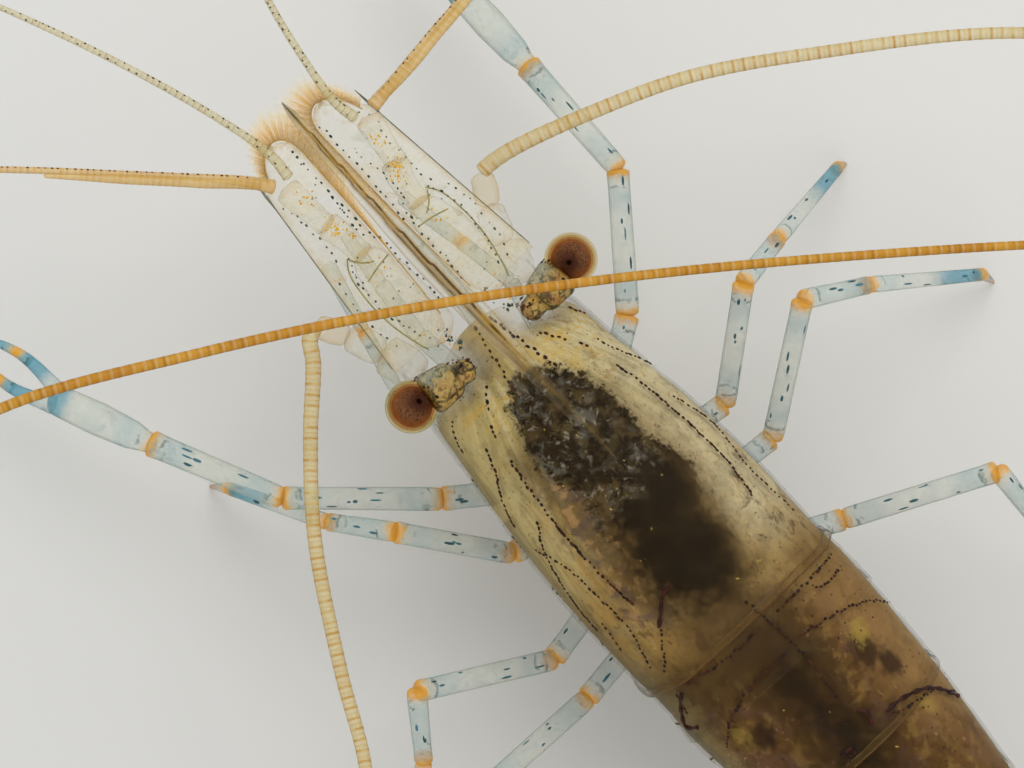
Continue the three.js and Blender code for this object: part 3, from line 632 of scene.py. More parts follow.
def eye_core_look():
    """The granular purple-brown core, with the black spot that shows towards the stalk."""
    s = Look("eye_core", IOR=1.38, Specular_IOR_Level=0.1)
    wave = s.noise(2.6, 4.0, 0.65)
    grains = s.noise(11.0, 2.0, 0.6)
    cells = s.cells(13.0)
    s.ground("#968A98", "#A6969C", s.step(wave, 0.35, 0.65))
    s.paint("#4C4044", s.step(grains, 0.5, 0.64) * 0.7)
    s.paint("#A898A0", s.step(grains, 0.42, 0.34) * 0.4)
    s.paint("#C8945C", s.step(s.mark("rim") + (wave - 0.5) * 0.3, 0.72, 1.05) * 0.7)
    near = s.mark("spot") + (wave - 0.5) * 0.06
    s.paint("#44304A", s.step(near, 0.7, 0.15) * 0.85)
    s.paint("#120C0A", s.step(near, 0.14, 0.06))
    return s.done(rough=(wave, 0.4, 0.55), bump=s.bump(cells, 0.2, 0.02))


def stalk_look():
    """Cream eye stalk under a black-green net, with red-brown and yellow patches."""
    s = Look("eye_stalk_skin", IOR=1.4, Specular_IOR_Level=0.15)
    net = s.cells(2.3, "DISTANCE_TO_EDGE")
    wave = s.noise(2.6, 4.0, 0.65, 0.5)
    flank = s.mark("flank")
    s.ground("#BCA262", "#A48442", s.step(wave, 0.35, 0.65))
    s.paint("#A0703A", s.patch(0.48, 0.62, 1.8, 3.0, 0.6) * 0.8)
    s.paint("#A3785E", s.patch(0.56, 0.68, 2.2, 3.0, 0.6, 0.3) * 0.55)
    dark = s.step(net + (wave - 0.5) * 0.6, 0.17, 0.02) * s.patch(0.4, 0.52, 1.4, 2.0, 0.5)
    s.paint("#D2A83C", s.patch(0.57, 0.67, 3.2, 3.0, 0.6, 0.9) * 0.7)
    s.paint("#2E2C1A", dark * 0.85)
    s.paint("#74381C", s.patch(0.58, 0.66, 4.0, 2.0, 0.6) * 0.7)
    s.paint("#2E2C1C", s.patch(0.54, 0.6, 2.9, 3.0, 0.6, 0.7) * 0.8)
    s.paint("#A8B088", s.mark("front") * 0.45)
    # painted shade: dark where the stalk faces sideways, its edges as seen from above
    s.paint("#42442E", s.step(flank, 0.9, 1.0) * 0.7)
    return s.done(alpha=s.step(wave, 0.3, 0.7, 0.78, 0.92) - s.mark("front") * 0.35,
                  rough=(wave, 0.3, 0.45), bump=s.bump(wave, 0.4, 0.06))


def feeler_look(name, base_code, ring_code, gap_code, ring_width, strength=0.7, cover=0.55):
    """A ringed feeler: a darker narrow ring, a paler one beside it and soft streaks along it."""
    def make():
        s = Look(name, IOR=1.42, Specular_IOR_Level=0.25)
        ring = s.mark("ring")
        flank = s.mark("flank")
        wave = s.noise(0.5, 3.0, 0.6)
        fine = s.noise(5.0, 3.0, 0.6)
        s.ground(base_code, gap_code, s.step(wave, 0.3, 0.7))
        uneven = s.step(s.noise(1.7, 2.0, 0.5), 0.35, 0.65, 0.4 * strength, 1.3 * strength)
        s.paint(ring_code, s.bell(ring, 0.5, ring_width) * uneven)
        s.paint("#E8DCB8", s.bell(ring, 0.5 + ring_width * 1.2, ring_width) * 0.3 * strength)
        # painted shade: the ring colour laid where the feeler faces sideways, darkening its edges as seen
        # from above, which are also more opaque
        s.paint(ring_code, s.step(flank, 0.78, 1.0) * 0.5)
        s.paint(ring_code, s.step(fine, 0.58, 0.72) * 0.3)
        band = s.bell(ring, 0.5, ring_width) * 0.25 * strength
        alpha = s.step(wave, 0.3, 0.7, cover, cover + 0.1) + s.step(flank, 0.5, 1.0) * 0.15 + band
        return s.done(alpha=alpha, rough=(fine, 0.35, 0.5),
                      bump=s.bump(fine, 0.2, 0.03))
    return make


def leg_look():
    """Clear pale legs: orange at the joints, light blue towards the feet, and grey-green painted shade along
    their edges.
    """
    s = Look("leg_skin", IOR=1.4, Specular_IOR_Level=0.3)
    joint = s.mark("joint")
    blue = s.mark("blue")
    flank = s.mark("flank")
    wave = s.noise(1.1, 4.0, 0.6)
    fine = s.noise(3.5, 3.0, 0.6, 0.4)
    s.ground("#D2D4C2", "#BEC8BC", s.step(wave, 0.35, 0.65))
    s.paint("#8FA39C", s.step(fine, 0.55, 0.7) * 0.35)
    s.paint(tone("blue"), s.step(blue + (wave - 0.5) * 0.6, 0.3, 0.8))
    teal = s.patch(0.58, 0.68, 1.3, 3.0, 0.6, 0.6) * s.step(blue, -0.2, 0.5)
    s.paint("#4F8290", teal * 0.6)
    # painted shade: grey-green darkening where the leg faces sideways, its edges as seen from above
    s.paint("#77877A", s.step(flank, 0.82, 1.0) * 0.6)
    wash = s.bell(joint + (wave - 0.5) * 0.8, 1.1, 1.0)
    s.paint(tone("blue"), wash * 0.35)
    near = joint + (fine - 0.5) * 0.6 + (wave - 0.5) * 0.5
    halo = s.step(near, 0.62, 0.2)
    s.paint("#E2BC66", halo * 0.6)
    heart = s.step(near, 0.34, 0.14)
    s.paint(tone("amber"), heart * 0.9)
    slash = s.bell(joint + (fine - 0.5) * 0.3, 0.66, 0.12) * s.patch(0.5, 0.58, 1.9, 2.0, 0.5)
    s.paint("#3C5648", slash * 0.85)
    s.paint("#C08A4C", s.mark("foot") * 0.7)
    alpha = s.step(wave, 0.3, 0.7, 0.2, 0.3) + halo * 0.15 + heart * 0.3 + blue * 0.3
    alpha = alpha + slash * 0.4 + wash * 0.06
    # the painted shade along the edges is also more opaque
    alpha = alpha + s.step(flank, 0.78, 1.0) * 0.28 + teal * 0.15 + s.mark("foot") * 0.2
    alpha = s.least(alpha, 0.92)
    return s.done(alpha=alpha, rough=(fine, 0.28, 0.42),
                  bump=s.bump(fine, 0.25, 0.05))


def floor_look():
    """A pale matt floor, faintly warmer in places, and darker towards the animal's left as painted shade."""
    s = Look("studio_floor", Specular_IOR_Level=0.1)
    soft = s.noise(0.02, 2.0, 0.5)
    settings = bpy.context.scene.prawn_studio
    pale = (*settings.floor, 1.0)
    warm = (*(c * f for c, f in zip(settings.floor, (0.995, 0.99, 0.98))), 1.0)
    _, y, _ = s.axes()
    # painted shade: the floor turns five per cent darker towards the animal's left
    dim = (*(c * 0.95 for c in settings.floor), 1.0)
    s.ground(pale, warm, s.step(soft, 0.35, 0.7))
    s.paint(dim, s.step(y, -8.0, 20.0))
    return s.done(rough=(soft, 0.8, 0.9))


MAKERS = {
    "flesh": flesh_look,
    "tail_flesh": tail_flesh_look,
    "shell": shell_look,
    "clear": clear_look,
    "peduncle": peduncle_look,
    "swimming_leg": lambda: peduncle_look("swimming_leg_skin", 2.6),
    "rostrum": rostrum_look,
    "amber_line": line_look("amber_line", "#BC9038", "#D2AC54", 0.85),
    "dark_line": line_look("dark_line", "#7A7A5C", "#5A5C44", 0.75),
    "olive_line": line_look("olive_line", "#B09C4A", "#868A58", 0.85),
    "stroke": line_look("stroke", "#1E0A06", "#3C160A", 1.0),
    "pigment": pigment_look("pigment", "#1E100C", "#4A2614"),
    "green_pigment": pigment_look("green_pigment", "#1E2620", "#46564A"),
    "teal_pigment": pigment_look("teal_pigment", "#2A4448", "#4A7884"),
    "yellow_pigment": pigment_look("yellow_pigment", "#A8802C", "#C0A450"),
    "gold_pigment": pigment_look("gold_pigment", "#C68A08", "#DEB236"),
    "bristle": bristle_look,
    "haze": haze_look,
    "cornea": clear_eye_look("cornea", "#EADBA8"),
    "eye_outer": clear_eye_look("eye_outer", "#EED2A4"),
    "eye_middle": clear_eye_look("eye_middle", "#DEBCB4"),
    "eye_core": eye_core_look,
    "stalk": stalk_look,
    "whip": feeler_look("whip_skin", "#D2B868", "#BE8A20", "#DACC96", 0.22, 0.8, 0.44),
    "crossing": feeler_look("whip_bright", "#BA7C14", "#84540A", "#C89430", 0.26, 0.5, 0.84),
    "flagellum": feeler_look("flagellum_skin", "#CEC494", "#A88E48", "#D8D0A6", 0.26, 0.7, 0.38),
    "outer_flagellum": feeler_look("outer_flagellum_skin", "#DEB468", "#B88C34", "#E0C080", 0.26, 0.6, 0.55),
    "knuckle": feeler_look("knuckle_skin", "#DCB85C", "#B48C34", "#D8C890", 0.3, 0.6, 0.14),
    "flagellum_amber": feeler_look("flagellum_amber", "#DDB660", "#C99434", "#E2C684", 0.3, 0.5),
    "leg": leg_look,
    "floor": floor_look,
}


# ---------------------------------------------------------------- making meshes

def setting(name):
    """A size of the settings, in millimetres."""
    return getattr(bpy.context.scene.prawn_sizes, name) / MM


def piece(name, bm, material, nodes, wall=0.0):
    """Turns a finished bmesh into an object on the frame.

    wall is the thickness of an open sheet in millimetres. Without one, the mesh is closed."""
    if not wall:
        bmesh.ops.recalc_face_normals(bm, faces=bm.faces)
    mesh = bpy.data.meshes.new(name)
    bm.to_mesh(mesh)
    bm.free()
    return finish_piece(name, mesh, material, nodes, wall)


def finish_piece(name, mesh, material, nodes, wall=0.0):
    """Moves a mesh onto the frame, as an object with its material and body, and hides its nodes."""
    mesh.transform(ONTO_FRAME)
    mesh.materials.append(look(material))
    mesh.shade_smooth()
    obj = bpy.data.objects.new(name, mesh)
    bpy.context.scene.collection.objects.link(obj)
    if wall:
        solid = obj.modifiers.new("wall", "SOLIDIFY")
        solid.thickness = wall * MM
        solid.offset = -1
    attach(obj, BODY)
    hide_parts(*nodes)
    return obj


def sheet(bm, across, along, place, marks=None, join=False):
    """A grid of faces whose corners go to place(u, v), u along and v across, each from 0 to 1.

    marks are functions of (u, v), kept on the corners as painted numbers. join closes the sheet
    where its corners meet."""
    layers = {key: bm.verts.layers.float.get(key) or bm.verts.layers.float.new(key) for key in marks or {}}
    verts = bmesh.ops.create_grid(bm, x_segments=along, y_segments=across, size=0.5)["verts"]
    for vert in verts:
        u, v = vert.co.x + 0.5, vert.co.y + 0.5
        for key, layer in layers.items():
            vert[layer] = marks[key](u, v)
        vert.co = place(u, v)
    if join:
        bmesh.ops.remove_doubles(bm, verts=verts, dist=1e-4)


def round_angle(v):
    """The angle round a section, from its left side over the top."""
    return 2 * math.pi * v


class Route:
    """Places along a curve, found by length. Its side points left of the way and its lift up."""

    def __init__(self, points, straight=False):
        points = [Vector(p) for p in points]
        self.places = points if straight else self.curve(points)
        self.lengths = [0.0]
        for a, b in zip(self.places, self.places[1:]):
            self.lengths.append(self.lengths[-1] + (b - a).length)
        self.length = self.lengths[-1]

    @staticmethod
    def curve(points):
        """A centripetal curve through the points."""
        ends = [2 * points[0] - points[1], *points, 2 * points[-1] - points[-2]]
        places = []
        for before, start, stop, after in zip(ends, ends[1:], ends[2:], ends[3:]):
            a, b, c = (math.sqrt((q - p).length) for p, q in ((before, start), (start, stop), (stop, after)))
            leave = ((start - before) / a - (stop - before) / (a + b) + (stop - start) / b) * b
            arrive = ((stop - start) / b - (after - start) / (b + c) + (after - stop) / c) * b
            count = max(6, round((stop - start).length / 0.15))
            places += interpolate_bezier(start, start + leave / 3, stop - arrive / 3, stop, count)[:-1]
        return places + [points[-1]]

    def at(self, distance):
        """The place, the side and the lift at this distance."""
        distance = clamp(distance, 0.0, self.length)
        low, high = 0, len(self.lengths) - 1
        while high - low > 1:
            middle = (low + high) // 2
            low, high = (middle, high) if self.lengths[middle] <= distance else (low, middle)
        span = self.lengths[high] - self.lengths[low]
        share = (distance - self.lengths[low]) / span
        spot = self.places[low].lerp(self.places[high], share)
        before, after = self.places[max(0, low - 1)], self.places[min(high + 1, len(self.places) - 1)]
        way = (after - before).normalized()
        side = UP.cross(way)
        side = side.normalized() if side.length > 0.05 else Vector((0, 1, 0))
        return spot, side, way.cross(side)


def mirrored(points, side):
    """Places drawn on the left, kept there or moved to the right."""
    return [Vector((x, y * side, z)) for x, y, z in points]


def stops(total, gap, cap):
    """Distances along a tube: close together in its rounded ends and a gap apart between them."""
    ends = [cap * (1 - math.cos(math.pi / 2 * k / 4)) for k in range(4)]
    count = max(1, round((total - 2 * cap) / gap))
    body = [mix(cap, total - cap, k / count) for k in range(count + 1)]
    return ends + body + [total - d for d in reversed(ends)]


def tube(bm, route, radius, around=12, gap=0.3, cap=0.15, squash=1.0, marks=None, span=None):
    """A closed tube along a route, flattened by squash.

    radius is in millimetres: a function of the distance, or (distance, radius) pairs."""
    start, stop = span or (0.0, route.length)
    total = stop - start
    cuts = stops(total, gap, min(cap, total / 3))
    frames = [route.at(start + d) for d in cuts]
    sizes = []
    for d in cuts:
        depth = clamp(min(d, total - d) / min(cap, total / 3))
        size = radius(d) if callable(radius) else ramp(radius, d)
        sizes.append(size * math.sqrt(max(0.0, 1 - (1 - depth) ** 2)))
    last = len(cuts) - 1

    def place(u, v):
        k = round(u * last)
        spot, side, lift = frames[k]
        angle = round_angle(v)
        return spot + sizes[k] * (math.cos(angle) * side + math.sin(angle) * squash * lift)

    # flank is how far a corner faces sideways; the leg, feeler and stalk materials paint shade along it,
    # darkening the edges seen from above
    painted = {"flank": lambda u, v: abs(math.cos(round_angle(v)))}
    for key, value in (marks or {}).items():
        painted[key] = lambda u, v, value=value: value(cuts[round(u * last)])
    sheet(bm, around, last, place, painted, join=True)


def copies(name, template, frames, material, nodes=(), tones=None, patches=None):
    """One mesh of many copies of a small shape, each moved by its own matrix.

    tones are painted on the copies. patches give each copy its small place on the OFBake map."""
    source = bpy.data.meshes.new(name + "_source")
    template.to_mesh(source)
    keys = [a.name for a in source.attributes if a.data_type == "FLOAT" and a.domain == "POINT"]
    corners = [v.co.copy() for v in source.vertices]
    faces = [tuple(p.vertices) for p in source.polygons]
    count = len(corners)
    places = [frame_of @ corner for frame_of in frames for corner in corners]
    polygons = [tuple(i + k * count for i in face) for k in range(len(frames)) for face in faces]
    mesh = bpy.data.meshes.new(name)
    mesh.from_pydata(places, [], polygons)
    for key in keys:
        values = [d.value for d in source.attributes[key].data]
        mesh.attributes.new(key, "FLOAT", "POINT").data.foreach_set("value", values * len(frames))
    spread = tones or [0.0] * len(frames)
    values = [t for t in spread for _ in range(count)]
    mesh.attributes.new("tone", "FLOAT", "POINT").data.foreach_set("value", values)
    if patches:
        flat = []
        for k, face in ((k, face) for k in range(len(frames)) for face in faces):
            for corner in face:
                spot = corners[corner]
                flat += [patches[k][0] + 0.003 * clamp(spot.z) - 0.0015, patches[k][1] + 0.0015 * spot.x]
        mesh.uv_layers.new(name="OFBake").data.foreach_set("uv", flat)
    bpy.data.meshes.remove(source)
    return finish_piece(name, mesh, material, nodes)


def dot_shape():
    """A low round pigment dot, one millimetre across."""
    bm = bmesh.new()
    bmesh.ops.create_icosphere(bm, subdivisions=2, radius=0.5)
    return bm


def bristle_shape():
    """A bristle one long on Z and one in radius, with a fine tip."""
    bm = bmesh.new()
    along = bm.verts.layers.float.new("along")
    bmesh.ops.create_cone(bm, cap_ends=True, cap_tris=True, segments=3, radius1=1.0, radius2=0.12, depth=1.0)
    bmesh.ops.translate(bm, verts=bm.verts, vec=(0, 0, 0.5))
    upright = [e for e in bm.edges if abs(e.verts[0].co.z - e.verts[1].co.z) > 0.5]
    bmesh.ops.subdivide_edges(bm, edges=upright, cuts=2, use_grid_fill=True)
    for vert in bm.verts:
        vert[along] = vert.co.z
    return bm


def aligned(spot, way, normal, sizes):
    """A matrix that puts a small shape at a spot: its X along the way, its Z along the normal."""
    way = (way - normal * way.dot(normal)).normalized()
    turn = Matrix((way, normal.cross(way), normal)).transposed().to_4x4()
    return Matrix.Translation(spot) @ turn @ Matrix.Diagonal((*sizes, 1.0))


def bristle_matrix(root, way, long, radius):
    """A matrix that stands a bristle on its root, pointing the given way."""
    way = way.normalized()
    side = UP.cross(way).normalized()
    turn = Matrix((way.cross(side), side, way)).transposed().to_4x4()
    return Matrix.Translation(root) @ turn @ Matrix.Diagonal((radius, radius, long, 1.0))


# ---------------------------------------------------------------- the trunk's shape

ABDOMEN = (            # back length, half width, depth, droop in degrees
    (2.0, 4.42, 8.2, -1), (4.2, 4.44, 9.0, 2), (5.2, 4.18, 8.6, 11),
    (3.6, 3.62, 7.2, 19), (3.2, 3.08, 6.0, 23), (5.4, 2.5, 4.8, 22),
)
TAIL_ROOT = (0.0, 1.85, 3.5, 18)
TELSON_LENGTH = 7.0
TELSON_DROOP = math.radians(18)
RINGS = (*ABDOMEN, TAIL_ROOT)
SEAM = 0.04

HALF_WIDTH = ((0.9, 3.25), (2.5, 3.6), (4.5, 3.78), (6, 4.0), (8.5, 4.28), (11, 4.45), (15.2, 4.42))
TOP = ((0.9, 13.2), (3, 13.45), (6, 13.9), (10, 14.3), (15.2, BACK_HEIGHT))
BELLY = ((0.9, 8.4), (2.2, 7.2), (3.6, 6.4), (5.2, 5.75), (7, 5.45), (13, 5.45), (15.2, 5.7))


def back_line():
    """Where each ring of the abdomen starts on the back, and how it tilts there."""
    spots = [(CARAPACE_REAR - SEAM, BACK_HEIGHT)]
    for long, _, _, droop in ABDOMEN:
        x, z = spots[-1]
        slope = math.radians(droop)
        spots.append((x - long * math.cos(slope), z - long * math.sin(slope)))
    droops = [0.0] + [(a[3] + b[3]) / 2 for a, b in zip(ABDOMEN, RINGS[1:])]
    return spots, [math.radians(d) for d in droops]


BACK, TILTS = back_line()
RING_STARTS = [-BACK[0][0]]
for ring_length, *_ in ABDOMEN:
    RING_STARTS.append(RING_STARTS[-1] + ring_length)
TRUNK_END = RING_STARTS[-1]
BACK_ROUND = 0.93            # power of the section's rounding above its widest line
BLEND = 0.9                  # the carapace's section turns into the abdomen's over this length


def thorax_section(s):
    """The section of head and thorax: x, z and tilt, then its half sizes to the side, up and down."""
    top, belly = ramp(TOP, s), ramp(BELLY, s)
    return [-s, top, 0.0, ramp(HALF_WIDTH, s), top - WIDEST_HEIGHT, WIDEST_HEIGHT - belly]


def ring_section(s):
    """The section of the abdomen, in the same order."""
    i = 0
    while i < len(ABDOMEN) - 1 and s > RING_STARTS[i + 1]:
        i += 1
    share = clamp((s - RING_STARTS[i]) / ABDOMEN[i][0])
    here, after = RINGS[i], RINGS[i + 1]
    half = mix(here[1], after[1], share ** 1.3)
    depth = mix(here[2], after[2], share ** 1.3)
    x, z = (mix(BACK[i][k], BACK[i + 1][k], share) for k in (0, 1))
    return [x, z, mix(TILTS[i], TILTS[i + 1], share), half, 0.52 * depth, 0.48 * depth - 0.4]


def section(s):
    """The body's section at a length s along the back: x, z and tilt there, then its half sizes."""
    share = ease(RING_STARTS[0] - BLEND, RING_STARTS[0] + BLEND, s)
    if share == 0:
        return thorax_section(s)
    if share == 1:
        return ring_section(s)
    here = thorax_section(min(s, RING_STARTS[0]))
    after = ring_section(max(s, RING_STARTS[0]))
    after[0] = here[0] = -s
    return [mix(a, b, share) for a, b in zip(here, after)]


def hull(s, angle, inset=0.0, narrow=0.0, deepen=0.0):
    """A place on the body's outline: angle 0 is its left side and 90 degrees its back."""
    x, z, tilt, half, up_size, down_size = section(s)
    up, out = math.sin(angle), math.cos(angle)
    y = (half - inset) * squared(out, BACK_ROUND if up > 0 else 0.7) * (1 - narrow * clamp(-up) ** 2)
    if up > 0:
        v = (up_size - inset) * squared(up, 0.91) - up_size
    else:
        v = (down_size - inset + deepen) * squared(up, 0.68) - up_size
    return Vector((x - v * math.sin(tilt), y, z + v * math.cos(tilt)))


def folded(angle):
    """The angle above the side, alike on the left and on the right."""
    return angle if angle <= math.pi / 2 else math.pi - angle


def on_back(x, share, lift=0.0):
    """The place on the shell at x, a share of the half width from the midline, and the way out.

    A share from 1 to 2 lies on the side below the widest line."""
    angle = math.acos(clamp(squared(share, 1 / BACK_ROUND), -0.999, 0.999))
    if abs(share) > 1:
        fold = math.radians(60) * (abs(share) - 1)
        angle = -fold if share > 0 else math.pi + fold
    s = -x
    for _ in range(6):
        s += hull(s, angle).x - x
    spot = hull(s, angle)
    out = (hull(s + 0.05, angle) - spot).cross(hull(s, angle + 0.02) - spot).normalized()
    if out.dot(spot - Vector((spot.x, 0, WIDEST_HEIGHT))) < 0:
        out.negate()
    return spot + out * lift, out


# ---------------------------------------------------------------- flesh

FLESH_FRONT = 0.5
FLESH_END = TRUNK_END + 0.15
NOSE = 2.4                   # length over which the head rounds off
NOSE_SHARE = 0.09            # share of the skin's rows spent on it
HEAD_INSET = ((0.2, 0.25), (2.0, 0.06), (5.0, 0.0), (9.0, 0.0))
HEAD_SINK = ((0.2, 1.15), (2.6, 0.95), (4.5, 0.3), (6.5, 0.0))      # room above for the eye stalks


def flesh():
    """The one skin of muscle and gut under the shell, from the head to the tail root."""
    depth = setting("flesh_depth")
    bm = bmesh.new()
    along, around = 230, 72

    def body_length(u):
        if u < NOSE_SHARE:
            return FLESH_FRONT + NOSE * (1 - math.cos(math.pi / 2 * clamp(u / NOSE_SHARE)))
        return mix(FLESH_FRONT + NOSE, FLESH_END, (u - NOSE_SHARE) / (1 - NOSE_SHARE))

    def place(u, v):
        s = body_length(u)
        angle = round_angle(v)
        head = ease(14.0, 11.0, s)
        inset = depth + ramp(HEAD_INSET, s)
        spot = hull(s, angle, inset, narrow=0.35 * head, deepen=0.9 * head + 0.25)
        spot.z -= ramp(HEAD_SINK, s) * max(0.0, math.sin(angle))
        lump = noise.noise(spot * 0.9) * 0.03 + noise.noise(spot * 2.6) * 0.02
        core = Vector((spot.x, 0, 9.6 if s < 15 else section(s)[1] - section(s)[4]))
        spot = spot + (spot - core).normalized() * lump
        nose = math.sqrt(clamp(1 - (1 - clamp((s - FLESH_FRONT) / NOSE)) ** 2))
        tail = math.sqrt(clamp(1 - (1 - clamp((FLESH_END - s) / 1.0)) ** 2))
        return core.lerp(spot, min(nose, tail))

    # share is how far the skin faces sideways; the flesh material paints a darker band of shade with it, and
    # a paler margin on the abdomen
    marks = {"share": lambda u, v: abs(math.cos(round_angle(v))) ** BACK_ROUND}
    sheet(bm, around, along, place, marks, join=True)
    piece("flesh", bm, "flesh", ["thorax_underside"])


# ---------------------------------------------------------------- shell

CARAPACE_HEM = math.radians(-58)
FRONT_MARGIN = (        # degrees above the side, x of the front margin
    (-58, -5.2), (-45, -3.2), (-25, -1.6), (-6, -0.95), (8, -0.75), (13, 0.0), (18, -0.95),
    (27, -2.0), (40, -2.5), (62, -2.5), (74, -1.9), (82, -1.3), (90, -1.0),
)
REAR_MARGIN = ((-58, -10.8), (-45, -12.9), (-25, -14.4), (0, -15.05), (40, -15.3), (90, -15.25))


def carapace():
    """The saddle-shaped shell of head and thorax, notched round the eyes and open below."""
    bm = bmesh.new()

    def margin(pairs, angle):
        return -ramp(pairs, math.degrees(folded(angle)))

    def spot_of(u, v):
        angle = mix(CARAPACE_HEM, math.pi - CARAPACE_HEM, v)
        front, rear = margin(FRONT_MARGIN, angle), margin(REAR_MARGIN, angle)
        return mix(front, rear, u), angle, rear

    def place(u, v):
        s, angle, rear = spot_of(u, v)
        lip = 0.1 * ease(0.5, 0.0, rear - s)
        groove = 0.06 * math.exp(-((s - 5.2 - 1.2 * abs(math.cos(angle))) / 0.5) ** 2)
        return hull(s, angle, groove - lip)

    def edge(u, v):
        s, _, rear = spot_of(u, v)
        return rear - s

    # flank is how far the shell faces sideways; the shell material paints shade along it
    marks = {"edge": edge, "flank": lambda u, v: abs(math.cos(spot_of(u, v)[1])), "band": lambda u, v: 1.0,
             "hem": lambda u, v: min(v, 1 - v) * 22}
    sheet(bm, 132, 150, place, marks)
    turn_out(bm)
    piece("carapace_shell", bm, "shell", ["carapace"], setting("shell_wall"))


def turn_out(bm):
    """Turns the faces of an open shell away from the middle of the body."""
    bm.normal_update()
    score = 0.0
    for face in bm.faces:
        middle = face.calc_center_median()
        score += face.normal.dot(middle - Vector((middle.x, 0, 8)))
    if score < 0:
        bmesh.ops.reverse_faces(bm, faces=bm.faces)


def tergite(i):
    """One ring of the abdomen: its back, and the rounded lobe that hangs down each side."""
    start, stop = RING_STARTS[i], RING_STARTS[i + 1]
    long = stop - start
    bm = bmesh.new()
    hem = math.radians(58 if i < 5 else 75)
    saddle = i == 1          # the second ring's side lobes lie over their neighbours'

    def spot_of(u, v):
        angle = mix(-hem, math.pi + hem, v)
        low = clamp(-math.sin(folded(angle)) / math.sin(hem))
        reach = 0.62 if saddle else 0.12
        front = start - 0.2 - (reach * low if i > 0 else 0)
        rear = stop + 0.3 + (reach * 1.2 - 0.15) * low
        middle, half = (front + rear) / 2, (rear - front) / 2
        round_off = math.sqrt(clamp(1 - max(0.0, (low - 0.35) / 0.65) ** 2 * 0.93))
        return middle + half * (2 * u - 1) * round_off, angle, middle + half * round_off, low

    def place(u, v):
        s, angle, _, low = spot_of(u, v)
        rise = ramp(((0, -0.06), (0.35, 0.0), (0.8, 0.02), (1, 0.05)), u)
        fold = 0.05 * math.exp(-((u - 0.45) / 0.06) ** 2) if i < 5 else 0.0
        rise += 0.1 * low if saddle else 0.0
        return hull(clamp(s, 0.0, TRUNK_END + 0.4), angle, fold - rise)

    def edge(u, v):
        s, _, rear, _ = spot_of(u, v)
        return rear - s

    band = (0.1, 0.7, 0.5, 0.5, 0.5, 0.5)[i]
    # flank is how far the shell faces sideways; the shell material paints shade along it
    marks = {"edge": edge, "flank": lambda u, v: abs(math.cos(spot_of(u, v)[1])), "band": lambda u, v: band,
             "hem": lambda u, v: min(v, 1 - v) * 20}
    sheet(bm, 96, max(24, round(long * 10)), place, marks)
    turn_out(bm)
    piece(f"abdomen_shell_{i + 1}", bm, "shell", [f"abdomen_{i + 1}"], setting("shell_wall"))


# ---------------------------------------------------------------- rostrum

KEEL_BACK = -7.6
BLADE_SHIFT = 0.13           # the blade's tip leans a little to the left


def rostrum():
    """The toothed blade, running back as a low keel on the carapace."""
    bm = bmesh.new()
    long = ROSTRUM_TIP - KEEL_BACK
    crest = ((-7.6, 14.0), (-3.0, 13.95), (-0.5, 13.7), (4.0, 13.85), (8.6, 14.1), (ROSTRUM_TIP, 14.22))
    under = ((-7.6, 13.5), (-2.5, 13.0), (-0.9, 12.3), (1.2, 12.35), (4.0, 13.05), (6.6, 13.4), (9.85, 14.1))
    middle = ((-7.6, 13.75), (-2.5, 13.3), (-0.9, 13.05), (4.0, 13.4), (8.3, 13.9), (9.85, 14.16))
    width = ((-7.6, 0.1), (-3.5, 0.3), (-0.9, 0.5), (3.0, 0.42), (7.0, 0.3), (9.3, 0.16), (9.85, 0.03))

    def tooth(x, first, pitch, count, height):
        share = (x - first) / pitch
        if not 0 <= share < count:
            return 0.0
        t = share % 1.0
        return height * (t / 0.86 if t < 0.86 else (1 - t) / 0.14) ** 1.3

    def place(u, v):
        x = KEEL_BACK + long * u
        angle = round_angle(v)
        up, out = math.sin(angle), math.cos(angle)
        mid = ramp(middle, x)
        top = ramp(crest, x) + tooth(x, -7.4, 1.45, 3, 0.42) + tooth(x, -1.1, 1.6, 6, 0.42)
        low = ramp(under, x) - tooth(x, 2.6, 1.8, 3, 0.32)
        z = mid + (top - mid) * squared(up, 1.5) if up > 0 else mid + (mid - low) * squared(up, 1.5)
        y = ramp(width, x) * squared(out, 1.7) + BLADE_SHIFT * ease(-1, 3, x)
        return Vector((x, y, z))

    marks = {"core": lambda u, v: 1 - abs(math.cos(round_angle(v))) ** 1.7}
    sheet(bm, 28, 420, place, marks, join=True)
    piece("rostrum_blade", bm, "rostrum", ["rostrum"])


# ---------------------------------------------------------------- eyes

EYE_LAYERS = (("cornea", 1.0), ("eye_outer", 0.9), ("eye_middle", 0.81), ("eye_core", 0.71))
STALK_LOBES = (              # places on the left, then radii along the way, then the cap
    (((-1.72, 1.28, 12.45), (-1.66, 1.7, 12.47), (-1.58, 2.3, 12.47)), ((0, 0.44), (1.0, 0.46)), 0.35),
    (((-1.62, 1.85, 12.45), (-1.5, 2.6, 12.47), (-1.4, 3.46, 12.5)),
     ((0, 0.62), (0.5, 0.73), (1.1, 0.8), (1.6, 0.9)), 0.4),
)
PUPIL_LEAN = 0.24            # the dark spot sits this far towards the stalk


